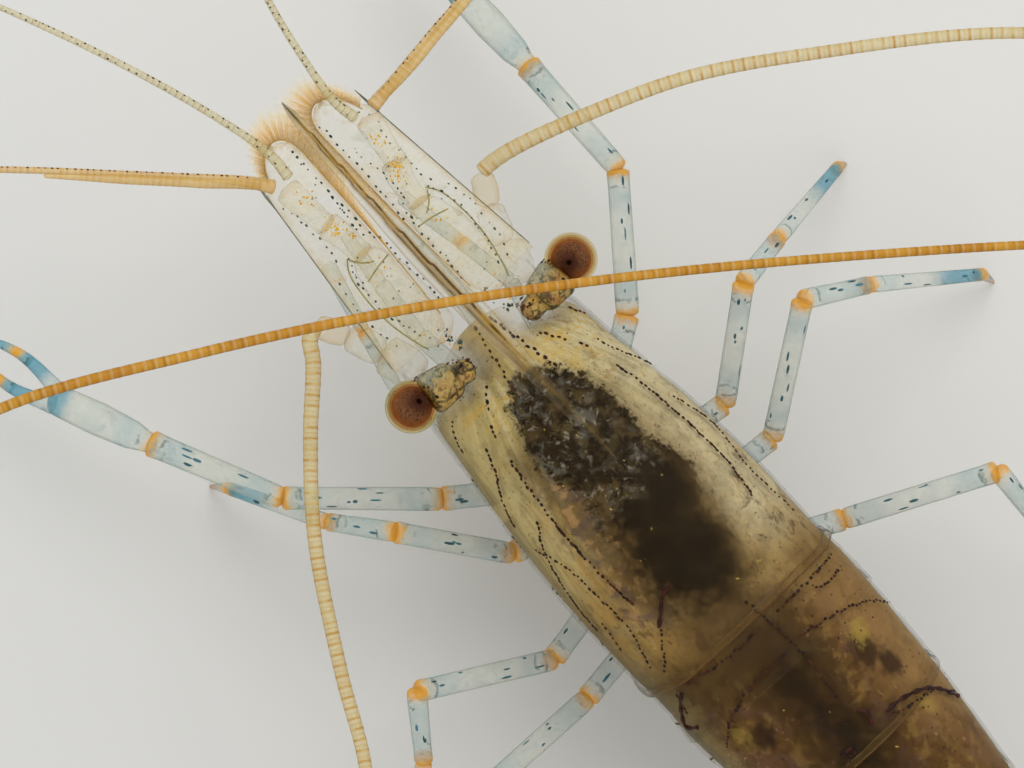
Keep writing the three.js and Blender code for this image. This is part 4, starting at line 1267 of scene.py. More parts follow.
def eye(name, side):
    """A round eye of four layers, from clear yellow skin to a purple-brown core."""
    centre = Vector((EYE.x, EYE.y * side, EYE.z))
    for label, share in EYE_LAYERS:
        bm = bmesh.new()
        bmesh.ops.create_icosphere(bm, subdivisions=5, radius=EYE_RADIUS * share)
        layer = bm.verts.layers.float.new("spot")
        rim = bm.verts.layers.float.new("rim")
        bmesh.ops.translate(bm, verts=bm.verts, vec=centre)
        for vert in bm.verts:
            away = (vert.co - centre).xy - Vector((-0.05, -PUPIL_LEAN * side))
            vert[layer] = away.length if vert.co.z > centre.z else 2.0
            vert[rim] = (vert.co - centre).xy.length / (EYE_RADIUS * share)
        piece(f"{label}_{name}", bm, label, [f"eye_{name}"])


def eye_stalk(name, side):
    """The short mottled stalk: a small inner lobe, and a wide outer one."""
    bm = bmesh.new()
    for points, radii, cap in STALK_LOBES:
        tube(bm, Route(mirrored(points, side)), radii, around=32, gap=0.08,
             cap=cap, squash=0.92)
    front = bm.verts.layers.float.new("front")
    for vert in bm.verts:
        vert[front] = ease(-1.5, -0.9, vert.co.x)
    piece(f"stalk_{name}", bm, "stalk", [f"eye_stalk_{name}"])


# ---------------------------------------------------------------- antennal scales

SCALE_SHIFT = -0.12
SCALE_RIM = 0.03
SCALE_TIP = 9.2


def scale_height(x):
    """The level of the scales, which rise a little to the front."""
    return 10.6 + 0.045 * x


def scale_outline():
    """The left scale's outline, from its inner rear corner round the front to its outer one."""
    front = interpolate_bezier(Vector((8.4, 0.46, 0)), Vector((9.05, 0.5, 0)), Vector((9.4, 0.9, 0)),
                               Vector((9.22, 1.3, 0)), 9)
    outer = interpolate_bezier(Vector((9.22, 1.3, 0)), Vector((9.05, 1.9, 0)), Vector((8.35, 2.1, 0)),
                               Vector((7.95, 2.25, 0)), 9)[1:]
    inner = Route([(0.5, 0.75, 0), (3.5, 0.56, 0), (6.0, 0.5, 0), (8.4, 0.46, 0)]).places[:-1]
    return inner + front + outer


def antennal_scale(name, side):
    """A thin clear blade with a rib, a spine at its outer corner and fine coloured margins."""
    def flat(x, y, z=0.0):
        return Vector((x, y * side + SCALE_SHIFT, scale_height(x) + z))

    inner = [(0.0, 1.0), (0.5, 0.75), (8.4, 0.46), (8.9, 0.62), (9.18, 0.95), (9.22, 1.3)]
    outer = [(0.0, 3.45), (0.4, 3.45), (7.9, 2.56), (8.2, 2.3), (8.8, 1.95), (9.22, 1.3)]
    bm = bmesh.new()

    def span(x):
        return ramp(inner, x), ramp(outer, x)

    def place(u, v):
        x = SCALE_TIP * (1 - (1 - u) ** 1.6)
        low, high = span(x)
        y = mix(low, high, v)
        rib = 0.05 * math.exp(-((v - 0.72) / 0.08) ** 2) + 0.12 * math.sin(math.pi * v)
        return flat(x, y, rib)

    def rim(u, v):
        x = SCALE_TIP * (1 - (1 - u) ** 1.6)
        low, high = span(x)
        return min(v * (high - low), (1 - v) * (high - low), SCALE_TIP - x)

    sheet(bm, 26, 70, place, {"rim": rim, "flank": lambda u, v: 0.0})
    up_facing(bm)
    piece(f"scale_{name}", bm, "clear", [f"antennal_scale_{name}"],
          wall=setting("plate_wall"))

    lines = bmesh.new()
    path = [flat(p.x, p.y) for p in scale_outline()]
    tube(lines, Route(path, straight=True), lambda d: SCALE_RIM, around=6, gap=0.15, cap=0.03)
    piece(f"scale_rim_{name}", lines, "amber_line", [f"antennal_scale_{name}"])
    edge = bmesh.new()
    outer_path = [flat(0.2, 3.46), flat(4.0, 3.02), flat(7.7, 2.6), flat(8.15, 2.56), flat(8.68, 2.5, 0.05)]
    tube(edge, Route(outer_path), ((0, 0.018), (7.2, 0.022), (7.8, 0.06), (8.5, 0.015)),
         around=8, gap=0.12, cap=0.03)
    piece(f"scale_edge_{name}", edge, "dark_line", [f"antennal_scale_{name}"])
    scale_fringe(name, side, flat)


def scale_fringe(name, side, flat):
    """Bristles round the front and inner margins of a scale, meeting over the rostrum's tip."""
    bristles = bpy.context.scene.prawn_sizes.fringe
    rng = random.Random(11 if side > 0 else 12)
    margin = Route([Vector((p.x, p.y, 0)) for p in scale_outline()], straight=True)
    frames, tones, patches = [], [], []
    start, stop = 3.0, margin.length - 0.1

    def stand(share, short, tall):
        """The place on the margin, the way a bristle points there and its length."""
        spot, across, _ = margin.at(mix(start, stop, share))
        ahead = ease(2.8, 8.6, spot.x)
        way = Vector((-across.x, -across.y, 0)).normalized().lerp(AHEAD, mix(0.72, 0.35, ahead))
        return spot, way, mix(short, tall, ahead) * mix(1.0, 0.35, ease(0.8, 2.1, spot.y))

    for k in range(bristles):
        share = (k + rng.random()) / bristles
        spot, way, long = stand(share ** 0.62, 0.4, 1.6)
        way = way + Vector((0, rng.uniform(-0.12, 0.12), 0))
        bend = rng.uniform(-0.06, 0.12)
        long = long * rng.uniform(0.75, 1.08)
        root = flat(spot.x, spot.y, rng.uniform(-0.05, 0.02))
        way = Vector((way.x, way.y * side, bend))
        frames.append(bristle_matrix(root, way, long, setting("bristle")))
        tones.append(rng.random())
        patches.append((clamp(spot.x / 10, 0.01, 0.99), clamp(spot.y / 4, 0.01, 0.99)))
    copies(f"scale_fringe_{name}", bristle_shape(), frames, "bristle",
           [f"antennal_scale_{name}"], tones, patches)

    def haze(u, v):
        spot, way, long = stand(u, 0.34, 1.35)
        tip = spot + way.normalized() * long * v
        return flat(tip.x, tip.y, -0.03)

    bm = bmesh.new()
    sheet(bm, 10, 160, haze, {"out": lambda u, v: v, "along": lambda u, v: mix(start, stop, u)})
    up_facing(bm)
    piece(f"scale_fringe_haze_{name}", bm, "haze", [f"antennal_scale_{name}"], wall=0.03)


def up_facing(bm):
    """Turns the faces of an open plate upwards."""
    bm.normal_update()
    if sum(f.normal.z for f in bm.faces) < 0:
        bmesh.ops.reverse_faces(bm, faces=bm.faces)


# ---------------------------------------------------------------- small feelers

ANTENNULE_END = {"left": (7.7, 1.86, 11.85), "right": (7.6, -2.16, 11.85)}
ANTENNULE_LOBE = ((-0.4, 1.25, 11.75), (1.4, 1.42, 11.8), (2.8, 1.4, 11.8), (4.15, 1.38, 11.8))
ANTENNULE_PRONG = ((2.6, 2.25, 11.75), (3.6, 2.3, 11.8), (4.35, 2.0, 11.85))
ANTENNULE_LINES = (          # places on the left, then the radius
    (((-0.2, 2.0, 11.75), (0.45, 2.2, 11.75), (1.6, 2.42, 11.75), (2.9, 2.42, 11.8), (3.8, 2.25, 11.85),
      (4.25, 1.95, 11.9)), 0.03),
    (((4.15, 1.95, 11.95), (3.75, 1.66, 12.05), (3.5, 1.3, 12.1)), 0.03),
    (((3.35, 0.75, 12.1), (3.25, 1.4, 12.15), (3.1, 2.0, 12.05)), 0.028),
)
FLAGELLA = {
    "left": {
        "inner": ((7.8, 1.5, 12.0), (8.9, 1.45, 12.1), (11.2, 2.0, 12.4), (14.9, 3.25, 12.7),
                  (19.3, 5.1, 13.0), (24.2, 7.6, 13.6)),
        "outer": ((7.9, 2.1, 12.0), (8.9, 2.85, 12.05), (12.2, 6.1, 12.2), (15.0, 9.0, 12.4),
                  (20.3, 15.0, 12.8), (24.5, 21.5, 13.6)),
    },
    "right": {
        "inner": ((7.75, -1.8, 12.0), (8.8, -1.62, 12.1), (10.6, -1.8, 12.4), (13.1, -2.3, 12.6),
                  (18.3, -3.9, 13.0), (24.0, -7.2, 13.6)),
        "outer": ((7.7, -2.5, 12.0), (7.8, -3.3, 12.1), (8.2, -5.8, 12.4), (8.4, -7.5, 12.6),
                  (9.6, -14.4, 13.0), (12.8, -22.6, 13.8)),
    },
}
SHORT_BRANCH = {"start": 0.5, "length": 8.4, "offset": 0.19}


FAR_FROM_JOINTS = {"joint": lambda d: 2.0}


def joint_marks(long):
    """The distance to the nearer end of a tube."""
    return {"joint": lambda d: min(d, long - d)}


def jointed(bm, points, radii, **shape):
    """One length of a feeler's stalk, marked at both ends."""
    route = Route(points)
    tube(bm, route, radii, marks=joint_marks(route.length), **shape)


def antennule(name, side):
    """The three-jointed stalk of the small feelers, and their inner and outer lashes."""
    end = Vector(ANTENNULE_END[name])
    bend = Vector((5.75, mix(1.5 * side, end.y, 0.45), 11.85))
    bm = bmesh.new()
    wide = ((0, 0.45), (0.5, 0.85), (1.8, 0.98), (3.0, 0.94), (3.9, 0.72), (4.6, 0.44))
    jointed(bm, mirrored(ANTENNULE_LOBE, side), wide, around=28, gap=0.14, cap=0.4, squash=0.42)
    second = [(3.85, 1.42 * side, 11.85), (5.0, 1.5 * side, 11.85), bend]
    jointed(bm, second, ((0, 0.5), (0.5, 0.44), (1.2, 0.5), (1.9, 0.56)),
            around=24, gap=0.12, cap=0.2, squash=0.85)
    third = [bend - Vector((0.25, 0, 0)), end.lerp(bend, 0.5), end]
    jointed(bm, third, ((0, 0.46), (0.5, 0.42), (1.2, 0.47), (2.0, 0.52)),
            around=24, gap=0.12, cap=0.2, squash=0.9)
    tube(bm, Route(mirrored(ANTENNULE_PRONG, side)), ((0, 0.12), (1.9, 0.03)),
         around=8, gap=0.15, cap=0.04, marks=FAR_FROM_JOINTS)
    piece(f"antennule_stalk_{name}", bm, "peduncle", [f"antennule_peduncle_{name}"])

    outline = bmesh.new()
    for points, radius in ANTENNULE_LINES:
        tube(outline, Route(mirrored(points, side)), lambda d, r=radius: r, around=6, gap=0.12, cap=0.03)
    piece(f"antennule_lines_{name}", outline, "olive_line", [f"antennule_peduncle_{name}"])
    flagella(name, side)


def ring_marks(period):
    """The share of the way through each ring."""
    return {"ring": lambda d: (d / period) % 1.0}


def flagella(name, side):
    """The inner lash, and the outer one with its short thick branch fused along it."""
    ring = setting("ring") * 0.6
    inner = Route(FLAGELLA[name]["inner"])
    outer = Route(FLAGELLA[name]["outer"])

    def ringed(size):
        return lambda d: size(d) * (1 - 0.025 * math.cos(2 * math.pi * d / ring))

    bm = bmesh.new()
    tube(bm, inner, ringed(lambda d: ramp(((0, 0.22), (2.5, 0.14), (12, 0.11), (30, 0.09)), d)),
         around=10, gap=ring / 4, cap=0.1, marks=ring_marks(ring))
    piece(f"inner_lash_{name}", bm, "flagellum", [f"antennule_inner_flagellum_{name}"])

    bm = bmesh.new()
    tube(bm, outer, ringed(lambda d: ramp(((0, 0.28), (1.2, 0.2), (3, 0.13), (30, 0.1)), d)),
         around=10, gap=ring / 4, cap=0.1, marks=ring_marks(ring))
    piece(f"outer_lash_{name}", bm, "outer_flagellum", [f"antennule_outer_flagellum_{name}"])

    branch = []
    for k in range(9):
        distance = mix(SHORT_BRANCH["start"], SHORT_BRANCH["length"], k / 8)
        spot, across, _ = outer.at(distance)
        outward = across * side
        branch.append(spot + outward * SHORT_BRANCH["offset"] * ease(0.0, 0.3, k / 8 + 0.05))
    bm = bmesh.new()
    branch_route = Route(branch)
    tube(bm, branch_route, ringed(lambda d: ramp(((0, 0.2), (5, 0.18), (7.9, 0.08)), d)),
         around=10, gap=ring / 4, cap=0.1, marks=ring_marks(ring))
    piece(f"short_lash_{name}", bm, "flagellum_amber", [f"antennule_outer_flagellum_{name}"])


# ---------------------------------------------------------------- antennae

ANTENNA_STALK = (            # places on the left, then radii along the way
    (((-0.75, 2.55, 9.35), (0.2, 2.8, 9.4), (0.95, 3.05, 9.45)), ((0, 0.6), (0.7, 0.8), (1.8, 0.76))),
    (((0.85, 3.0, 9.45), (1.6, 3.3, 9.5), (2.3, 3.6, 9.6)), ((0, 0.5), (0.6, 0.6), (1.6, 0.52))),
)
WHIP_ROOT = {"left": (3.3, 4.25, 9.9), "right": (3.35, -4.15, 9.9)}
WHIP = {
    "left": (
        (3.1, 4.72, 9.9), (2.4, 5.2, 9.9), (0.4, 7.2, 9.9), (-2.4, 9.6, 10.0), (-6.6, 12.2, 10.0),
        (-9.7, 13.9, 10.2), (-12.0, 15.9, 10.8), (-12.9, 18.9, 11.6), (-11.8, 22.2, 12.5),
        (-8.6, 25.0, 13.5), (-4.2, 26.9, 14.4), (0.6, 27.2, 15.3), (4.9, 25.7, 16.3), (8.0, 22.5, 17.3),
        (8.9, 18.9, 18.1), (8.2, 15.2, 18.5), (5.0, 8.8, 18.1), (1.2, 2.3, 17.7), (-2.1, -2.7, 17.3),
        (-5.8, -7.8, 16.9), (-10.4, -13.7, 16.6), (-13.4, -17.4, 16.3),
    ),
    "right": (
        (3.35, -4.62, 10.0), (3.2, -5.5, 10.3), (2.3, -8.2, 10.9), (0.7, -12.0, 11.5), (-1.8, -15.9, 12.1),
        (-6.5, -22.0, 13.0), (-13.0, -27.4, 13.6), (-21.5, -30.6, 13.8), (-31.0, -30.4, 13.2),
        (-40.0, -27.0, 12.2), (-48.0, -21.2, 11.0),
    ),
}
WHIP_PIECES = {"left": 5, "right": 3}
BRIGHT_FROM = 0.55           # the left feeler's colour is stronger beyond this share of its length


def antenna(name, side):
    """The jointed stalk of the long feeler, and its ringed whip."""
    root = Vector(WHIP_ROOT[name])
    bm = bmesh.new()
    for points, radii in ANTENNA_STALK:
        jointed(bm, mirrored(points, side), radii, around=24, gap=0.12, cap=0.25, squash=0.9)
    piece(f"antenna_stalk_{name}", bm, "peduncle", [f"antenna_peduncle_{name}"])

    bm = bmesh.new()
    last = [(2.2, 3.55 * side, 9.6), (2.8, 3.9 * side, 9.7), root]
    jointed(bm, last, ((0, 0.42), (0.6, 0.5), (1.5, 0.42)), around=24, gap=0.12, cap=0.25, squash=0.9)
    piece(f"antenna_knuckle_{name}", bm, "knuckle", [f"antenna_peduncle_{name}"])

    ring = setting("ring")
    whip = Route([root, *(Vector(p) for p in WHIP[name])])
    nodes = [f"antenna_{name}_{k + 1}" for k in range(WHIP_PIECES[name])]
    taper = ((0, 0.3), (0.05, 0.27), (0.2, 0.235), (0.45, 0.2), (1, 0.16))

    def radius(d):
        return ramp(taper, d / whip.length) * (1 - 0.018 * math.cos(2 * math.pi * d / ring))

    joins = [0.0, BRIGHT_FROM, 1.0] if name == "left" else [0.0, 1.0]
    skins = ("whip", "crossing")
    for k, (low, high) in enumerate(zip(joins, joins[1:])):
        span = (low * whip.length, high * whip.length)
        bm = bmesh.new()
        tube(bm, whip, lambda d, low=span[0]: radius(d + low), around=12, gap=ring / 6, cap=0.1,
             marks=ring_marks(ring), span=span)
        piece(f"whip_{name}_{k + 1}", bm, skins[k], nodes)


# ---------------------------------------------------------------- legs

# Each leg runs body, end of basis, end of ischium, knee, wrist, end of propodus, tip.
WALKING_LEGS = {
    "right_3": ((-8.5, -1.66, 4.8), (-8.9, -3.4, 4.75), (-9.25, -5.85, 4.95), (-6.3, -9.0, 7.9),
                (-6.0, -11.5, 6.2), (-5.65, -16.1, 1.8), (-5.8, -16.9, -0.2)),
    "left_3": ((-8.5, 1.66, 4.8), (-8.3, 2.8, 4.75), (-7.85, 4.1, 4.95), (-4.2, 7.05, 7.4),
               (-2.2, 8.5, 5.8), (1.35, 10.05, 1.8), (1.95, 10.4, -0.2)),
    "right_4": ((-10.9, -1.66, 4.8), (-11.2, -3.4, 4.75), (-11.45, -6.3, 4.9), (-8.3, -10.2, 7.9),
                (-9.7, -12.9, 6.0), (-12.6, -17.4, 1.8), (-13.3, -18.0, -0.2)),
    "left_4": ((-10.9, 1.66, 4.8), (-11.4, 3.2, 4.75), (-11.85, 5.7, 4.95), (-9.1, 10.5, 7.7),
               (-11.3, 12.0, 6.0), (-14.6, 16.2, 1.9), (-15.2, 17.0, -0.2)),
    "right_5": ((-13.2, -1.66, 4.85), (-14.2, -3.4, 4.75), (-15.6, -6.2, 5.0), (-18.1, -11.3, 7.5),
                (-20.9, -11.4, 6.0), (-26.0, -15.0, 1.9), (-26.9, -15.6, -0.2)),
    "left_5": ((-13.2, 1.66, 4.85), (-13.5, 3.2, 4.75), (-13.8, 5.8, 5.0), (-13.5, 11.2, 7.3),
               (-16.2, 13.0, 5.9), (-22.2, 16.6, 1.9), (-23.1, 17.2, -0.2)),
}
CLAW_LEGS = {
    "right": {
        "arm": ((-6.4, -1.66, 4.85), (-5.6, -3.3, 4.8), (-4.2, -5.4, 5.2), (0.1, -8.8, 6.0),
                (5.45, -9.15, 5.0)),
        "hand": ((5.55, -9.16, 5.0), (9.8, -9.35, 4.2)),
        "fingers": ((13.2, -9.0, 3.6), (13.25, -9.75, 3.55)),
    },
    "left": {
        "arm": ((-6.4, 1.66, 4.85), (-5.8, 2.9, 4.8), (-4.5, 4.7, 5.2), (-0.4, 9.15, 6.0),
                (4.55, 11.3, 5.0)),
        "hand": ((4.65, 11.35, 5.0), (8.4, 12.8, 4.2)),
        "fingers": ((12.1, 13.0, 3.6), (11.75, 13.95, 3.55)),
    },
}
WALKING_SIZES = (0.5, 0.45, 0.42, 0.4, 0.33, 0.25, 0.07)
CLAW_SIZES = (0.5, 0.48, 0.46, 0.43, 0.5)


NO_JOINT = 9.0               # further from a joint than any of its orange reaches


def article(bm, start, stop, thick, thin, order, painted, last=False):
    """One length of a leg: narrow where it starts, widening, and flared round the next joint."""
    start, stop = Vector(start), Vector(stop)
    start = start - (stop - start).normalized() * 0.12
    route = Route([start, start.lerp(stop, 0.5), stop])
    long = route.length

    def radius(d):
        share = d / long
        body = mix(thick, thin, share)
        if last:
            return body
        neck = 0.93 + 0.07 * ease(0.0, 0.5, d)
        flare = 1 + 0.06 * ease(0.7, 0.15, long - d)
        return body * neck * flare

    def joint(d):
        return min(d if painted[0] else NO_JOINT, long - d if painted[1] else NO_JOINT)

    def blue(d):
        share = d / long
        return {"propodus": ease(0.4, 0.8, share), "carpus": 0.35 * share, "merus": 0.12}.get(order, 0.0)

    tube(bm, route, radius, around=16, gap=0.16, cap=0.05 if last else 0.16,
         marks={"joint": joint, "blue": blue, "foot": lambda d: ease(0.1, 0.7, d / long) if last else 0.0})


ARTICLES = ("basis", "ischium", "merus", "carpus", "propodus", "dactyl")


def to_floor(joints):
    """The joints, with the last length cut where it meets the floor."""
    *kept, above, below = [Vector(j) for j in joints]
    return [*kept, above, above.lerp(below, above.z / (above.z - below.z)) + Vector((0, 0, 0.03))]


def walking_leg(name, joints):
    """A leg of six lengths, orange at its main joints and blue towards its foot."""
    bm = bmesh.new()
    spots = to_floor(joints)
    for k, (start, stop) in enumerate(zip(spots, spots[1:])):
        painted = (k in (2, 3, 4, 5), k + 1 in (2, 3, 4, 5))
        article(bm, start, stop, WALKING_SIZES[k], WALKING_SIZES[k + 1], ARTICLES[k], painted, last=k == 5)
    piece(f"walking_leg_{name}", bm, "leg", [f"leg_{name}"])


def claw_leg(name):
    """The long leg with pincers: four lengths of arm, the palm and two curved fingers."""
    parts = CLAW_LEGS[name]
    bm = bmesh.new()
    arm = parts["arm"]
    for k, (start, stop) in enumerate(zip(arm, arm[1:])):
        painted = (k in (2, 3), k + 1 in (2, 3, 4))
        article(bm, start, stop, CLAW_SIZES[k], CLAW_SIZES[k + 1] * 0.98, ARTICLES[k], painted)
    piece(f"claw_arm_{name}", bm, "leg", [f"claw_leg_arm_{name}"])

    wrist, knuckle = (Vector(p) for p in parts["hand"])
    tips = [Vector(p) for p in parts["fingers"]]
    forward = (knuckle - wrist).normalized()
    across = UP.cross(forward).normalized()
    bm = bmesh.new()
    palm = Route([wrist - forward * 0.42, wrist.lerp(knuckle, 0.5), knuckle])
    swell = ((0, 0.36), (0.45, 0.42), (1.0, 0.56), (2.4, 0.64), (4.0, 0.6), (4.8, 0.48))
    tube(bm, palm, swell, around=20, gap=0.14, cap=0.3, squash=0.85,
         marks={"joint": lambda d: d, "foot": lambda d: 0.0,
                "blue": lambda d: 0.25 + 0.75 * ease(3.4, 4.1, d)})
    middle = (tips[0] + tips[1]) / 2
    for tip in tips:
        outward = math.copysign(1.0, (tip - middle).dot(across))
        root = knuckle - forward * 0.4 + across * 0.27 * outward
        bend = root.lerp(tip, 0.5) + across * 0.24 * outward
        finger = Route([root, bend, tip.lerp(middle, 0.35)])
        tube(bm, finger, ((0, 0.34), (1.0, 0.27), (3.0, 0.17), (3.9, 0.05)), around=14,
             gap=0.12, cap=0.1, marks={"joint": lambda d: abs(d - 2.4) + 0.1, "foot": lambda d: 0.0,
                                       "blue": lambda d: 0.4 + 0.6 * ease(0.6, 1.4, d)})
    piece(f"claw_{name}", bm, "leg", [f"claw_leg_hand_{name}"])


MOUTH_LIMBS = (              # piece, node, slot, places on the left, radii, the length with orange joints
    ("small_leg", "first_leg", "leg",
     ((-4.6, 1.5, 4.9), (-3.4, 2.3, 4.6), (-0.2, 3.0, 4.9), (2.2, 2.5, 5.6), (4.9, 1.9, 6.4)),
     (0.4, 0.34, 0.3, 0.28, 0.3), 3),
    ("mouth_limb", "third_maxilliped", "underside",
     ((-2.6, 0.75, 5.4), (0.6, 1.1, 5.6), (3.0, 1.0, 6.9), (5.2, 0.85, 8.0)),
     (0.42, 0.36, 0.32, 0.24), None),
)


def mouth_limbs(name, side):
    """The small first leg, folded under the head, and the third maxilliped beside the mouth."""
    for label, node, slot, points, radii, orange in MOUTH_LIMBS:
        bm = bmesh.new()
        spots = mirrored(points, side)
        for k, (start, stop) in enumerate(zip(spots, spots[1:])):
            article(bm, start, stop, radii[k], radii[k + 1], "merus", (k == orange, k + 1 == orange))
        piece(f"{label}_{name}", bm, "leg", [f"{node}_{name}"])


# ---------------------------------------------------------------- swimmerets and tail

SWIMMERET_BLADES = (         # places on the left, from the middle of the ring's belly
    ((-0.35, 1.85, -1.4), (-1.9, 2.0, -2.8), (-3.3, 1.95, -3.3)),
    ((-0.3, 1.6, -1.35), (-1.6, 1.55, -2.5), (-2.9, 1.5, -2.95)),
)


def swimmeret(i, name, side):
    """A swimming leg: a short stem and two blades that sweep back."""
    middle = (BACK[i][0] + BACK[i + 1][0]) / 2
    depth = ABDOMEN[i][2]
    belly = (BACK[i][1] + BACK[i + 1][1]) / 2 - depth * math.cos(TILTS[i]) - 0.28
    lean = depth * math.sin(TILTS[i])
    size = 1 - 0.09 * i
    x = middle - lean
    bm = bmesh.new()
    stem = Route(mirrored(((x + 0.9, 1.45, belly + 0.8), (x + 0.4, 1.5, belly - 0.35),
                           (x, 1.62, belly - 0.95 * size), (x - 0.4, 1.75, belly - 1.5 * size)), side))
    tube(bm, stem, lambda d: ramp(((0, 0.6), (1.4, 0.55), (2.6, 0.42)), d) * size,
         around=14, gap=0.16, cap=0.2, squash=0.7, marks=joint_marks(stem.length))
    for points in SWIMMERET_BLADES:
        blade = Route([(x + px, py * side, belly + pz * size) for px, py, pz in points])
        tube(bm, blade, lambda d: ramp(((0, 0.25), (0.8, 0.5), (2.4, 0.52), (3.6, 0.16)), d) * size,
             around=14, gap=0.16, cap=0.25, squash=0.42, marks=FAR_FROM_JOINTS)
    piece(f"swimming_leg_{name}_{i + 1}", bm, "swimming_leg", [f"swimmeret_{name}_{i + 1}"])


TAIL_X, TAIL_Z = BACK[-1][0] - 0.1, BACK[-1][1] - 1.0
UROPODS = (
    ("inner", 7.0, 2.3, math.radians(7), 1.4, -1.15),
    ("outer", 7.7, 2.9, math.radians(19), 1.75, -1.8),
)


def on_tail(x, y, z):
    """A place of the tail fan, drawn level behind the tail root, turned down with it."""
    turned = Matrix.Rotation(-TELSON_DROOP, 3, "Y") @ Vector((x, y, z))
    return turned + Vector((TAIL_X, 0, TAIL_Z))


TELSON_SPINES = (        # two pairs on the back, and two pairs at the end: place, then length
    (-3.9, 0.45, 0.12, 0.45), (-5.5, 0.3, -0.03, 0.45),
    (-6.85, 0.1, -0.28, 0.32), (-6.75, 0.22, -0.28, 0.55),
)


def telson():
    """The tapering middle piece of the tail, with two pairs of spines and a pointed end."""
    bm = bmesh.new()

    def place(u, v):
        angle = round_angle(v)
        taper = math.sqrt(clamp(1 - (1 - clamp(u / 0.03)) ** 2)) * math.sqrt(clamp((1 - u) / 0.04))
        half = mix(1.13, 0.3, u) * taper
        thick = mix(0.75, 0.16, u ** 0.8) * taper
        up, out = math.sin(angle), math.cos(angle)
        groove = 0.1 * math.exp(-(out / 0.25) ** 2) * (up > 0) * math.sin(math.pi * u)
        x = 0.9 - u * (TELSON_LENGTH + 1.02)
        return on_tail(x, half * out, -0.05 + thick * squared(up, 0.9) - 0.25 * u - groove)

    sheet(bm, 32, 80, place, {"flank": lambda u, v: abs(math.cos(round_angle(v)))}, join=True)
    for _, side in SIDES:
        for x, y, z, long in TELSON_SPINES:
            root, tip = on_tail(x, y * side, z), on_tail(x - long, y * side, z + 0.05)
            spine = Route([root, root.lerp(tip, 0.5), tip])
            tube(bm, spine, lambda d, long=long: 0.055 * (1.08 - d / long), around=8, gap=0.08, cap=0.03)
    piece("telson_shell", bm, "tail_flesh", ["telson"])


# The margins of a tail blade: share of its length, then share of its width, or millimetres at its ends.
BLADE_INNER = ((0, -0.42), (0.2, -0.36), (0.5, -0.47), (0.8, -0.42), (0.95, -0.28), (1, 0.0))
BLADE_OUTER = ((0, 0.42), (0.2, 0.36), (0.5, 0.44), (0.85, 0.42), (0.95, 0.3), (1, 0.02))
BLADE_BRISTLES = 520


def uropod_blade(name, side, spec):
    """A thin tail blade with a strong rib and a soft fringe along its end."""
    label, long, width, splay, shift, drop = spec
    turn = Matrix.Rotation(-splay, 3, "Z")

    def margin(pairs, u):
        return ramp([(at, y * width if 0 < at < 1 else y) for at, y in pairs], u)

    def spot(u, v, lift=0.0):
        inner, outer = margin(BLADE_INNER, u), margin(BLADE_OUTER, u)
        level = turn @ Vector((-u * long, mix(inner, outer, v), 0))
        return on_tail(level.x - 0.35, (level.y + shift) * side, drop + 0.4 + lift)

    def arch(u, v):
        return 0.12 * math.sin(math.pi * v) + 0.09 * math.exp(-((v - 0.55) / 0.06) ** 2) * (1 - u)

    bm = bmesh.new()
    sheet(bm, 26, 60, lambda u, v: spot(u, v, arch(u, v)),
          {"rim": lambda u, v: min(v, 1 - v) * width, "flank": lambda u, v: 0.0})
    up_facing(bm)
    piece(f"tail_blade_{label}_{name}", bm, "clear", [f"uropod_{label}_{name}"],
          wall=setting("plate_wall"))

    rng = random.Random(31 + side + (4 if label == "inner" else 0))
    frames, tones, patches = [], [], []
    for k in range(BLADE_BRISTLES):
        share = (k + rng.random()) / BLADE_BRISTLES
        u = 1 - abs(2 * share - 1) * 0.75
        v = 0.0 if share < 0.5 else 1.0
        root = spot(u, v)
        ahead = spot(min(u + 0.02, 1.0), v) - spot(u - 0.02, v)
        outward = (root - spot(u, 0.5)).normalized()
        way = ahead.normalized().lerp(outward, 0.35 * (1 - ease(0.9, 1.0, u)))
        frames.append(bristle_matrix(root, way, rng.uniform(0.6, 0.95), setting("bristle")))
        tones.append(rng.random())
        patches.append((clamp(u, 0.01, 0.99), clamp(v, 0.01, 0.99)))
    copies(f"tail_fringe_{label}_{name}", bristle_shape(), frames, "bristle",
           [f"uropod_{label}_{name}"], tones, patches)


# ---------------------------------------------------------------- pigment

# Slanting lines of dots low on both sides: x, how far they run back, and their upper and lower ends.
SIDE_LINES = (
    (-4.8, 3.0, 1.42, 1.66), (-7.4, 3.2, 1.4, 1.72), (-9.8, 2.4, 1.38, 1.64), (-12.6, -1.6, 1.4, 1.72),
    (-16.6, 0.7, 1.38, 1.8), (-18.4, 0.5, 1.36, 1.86), (-20.0, 0.3, 1.36, 1.84), (-23.0, 0.9, 1.36, 1.8),
    (-25.4, 0.7, 1.34, 1.76), (-28.6, 0.7, 1.34, 1.74), (-31.7, 0.6, 1.34, 1.7), (-34.2, 1.2, 1.36, 1.6),
)

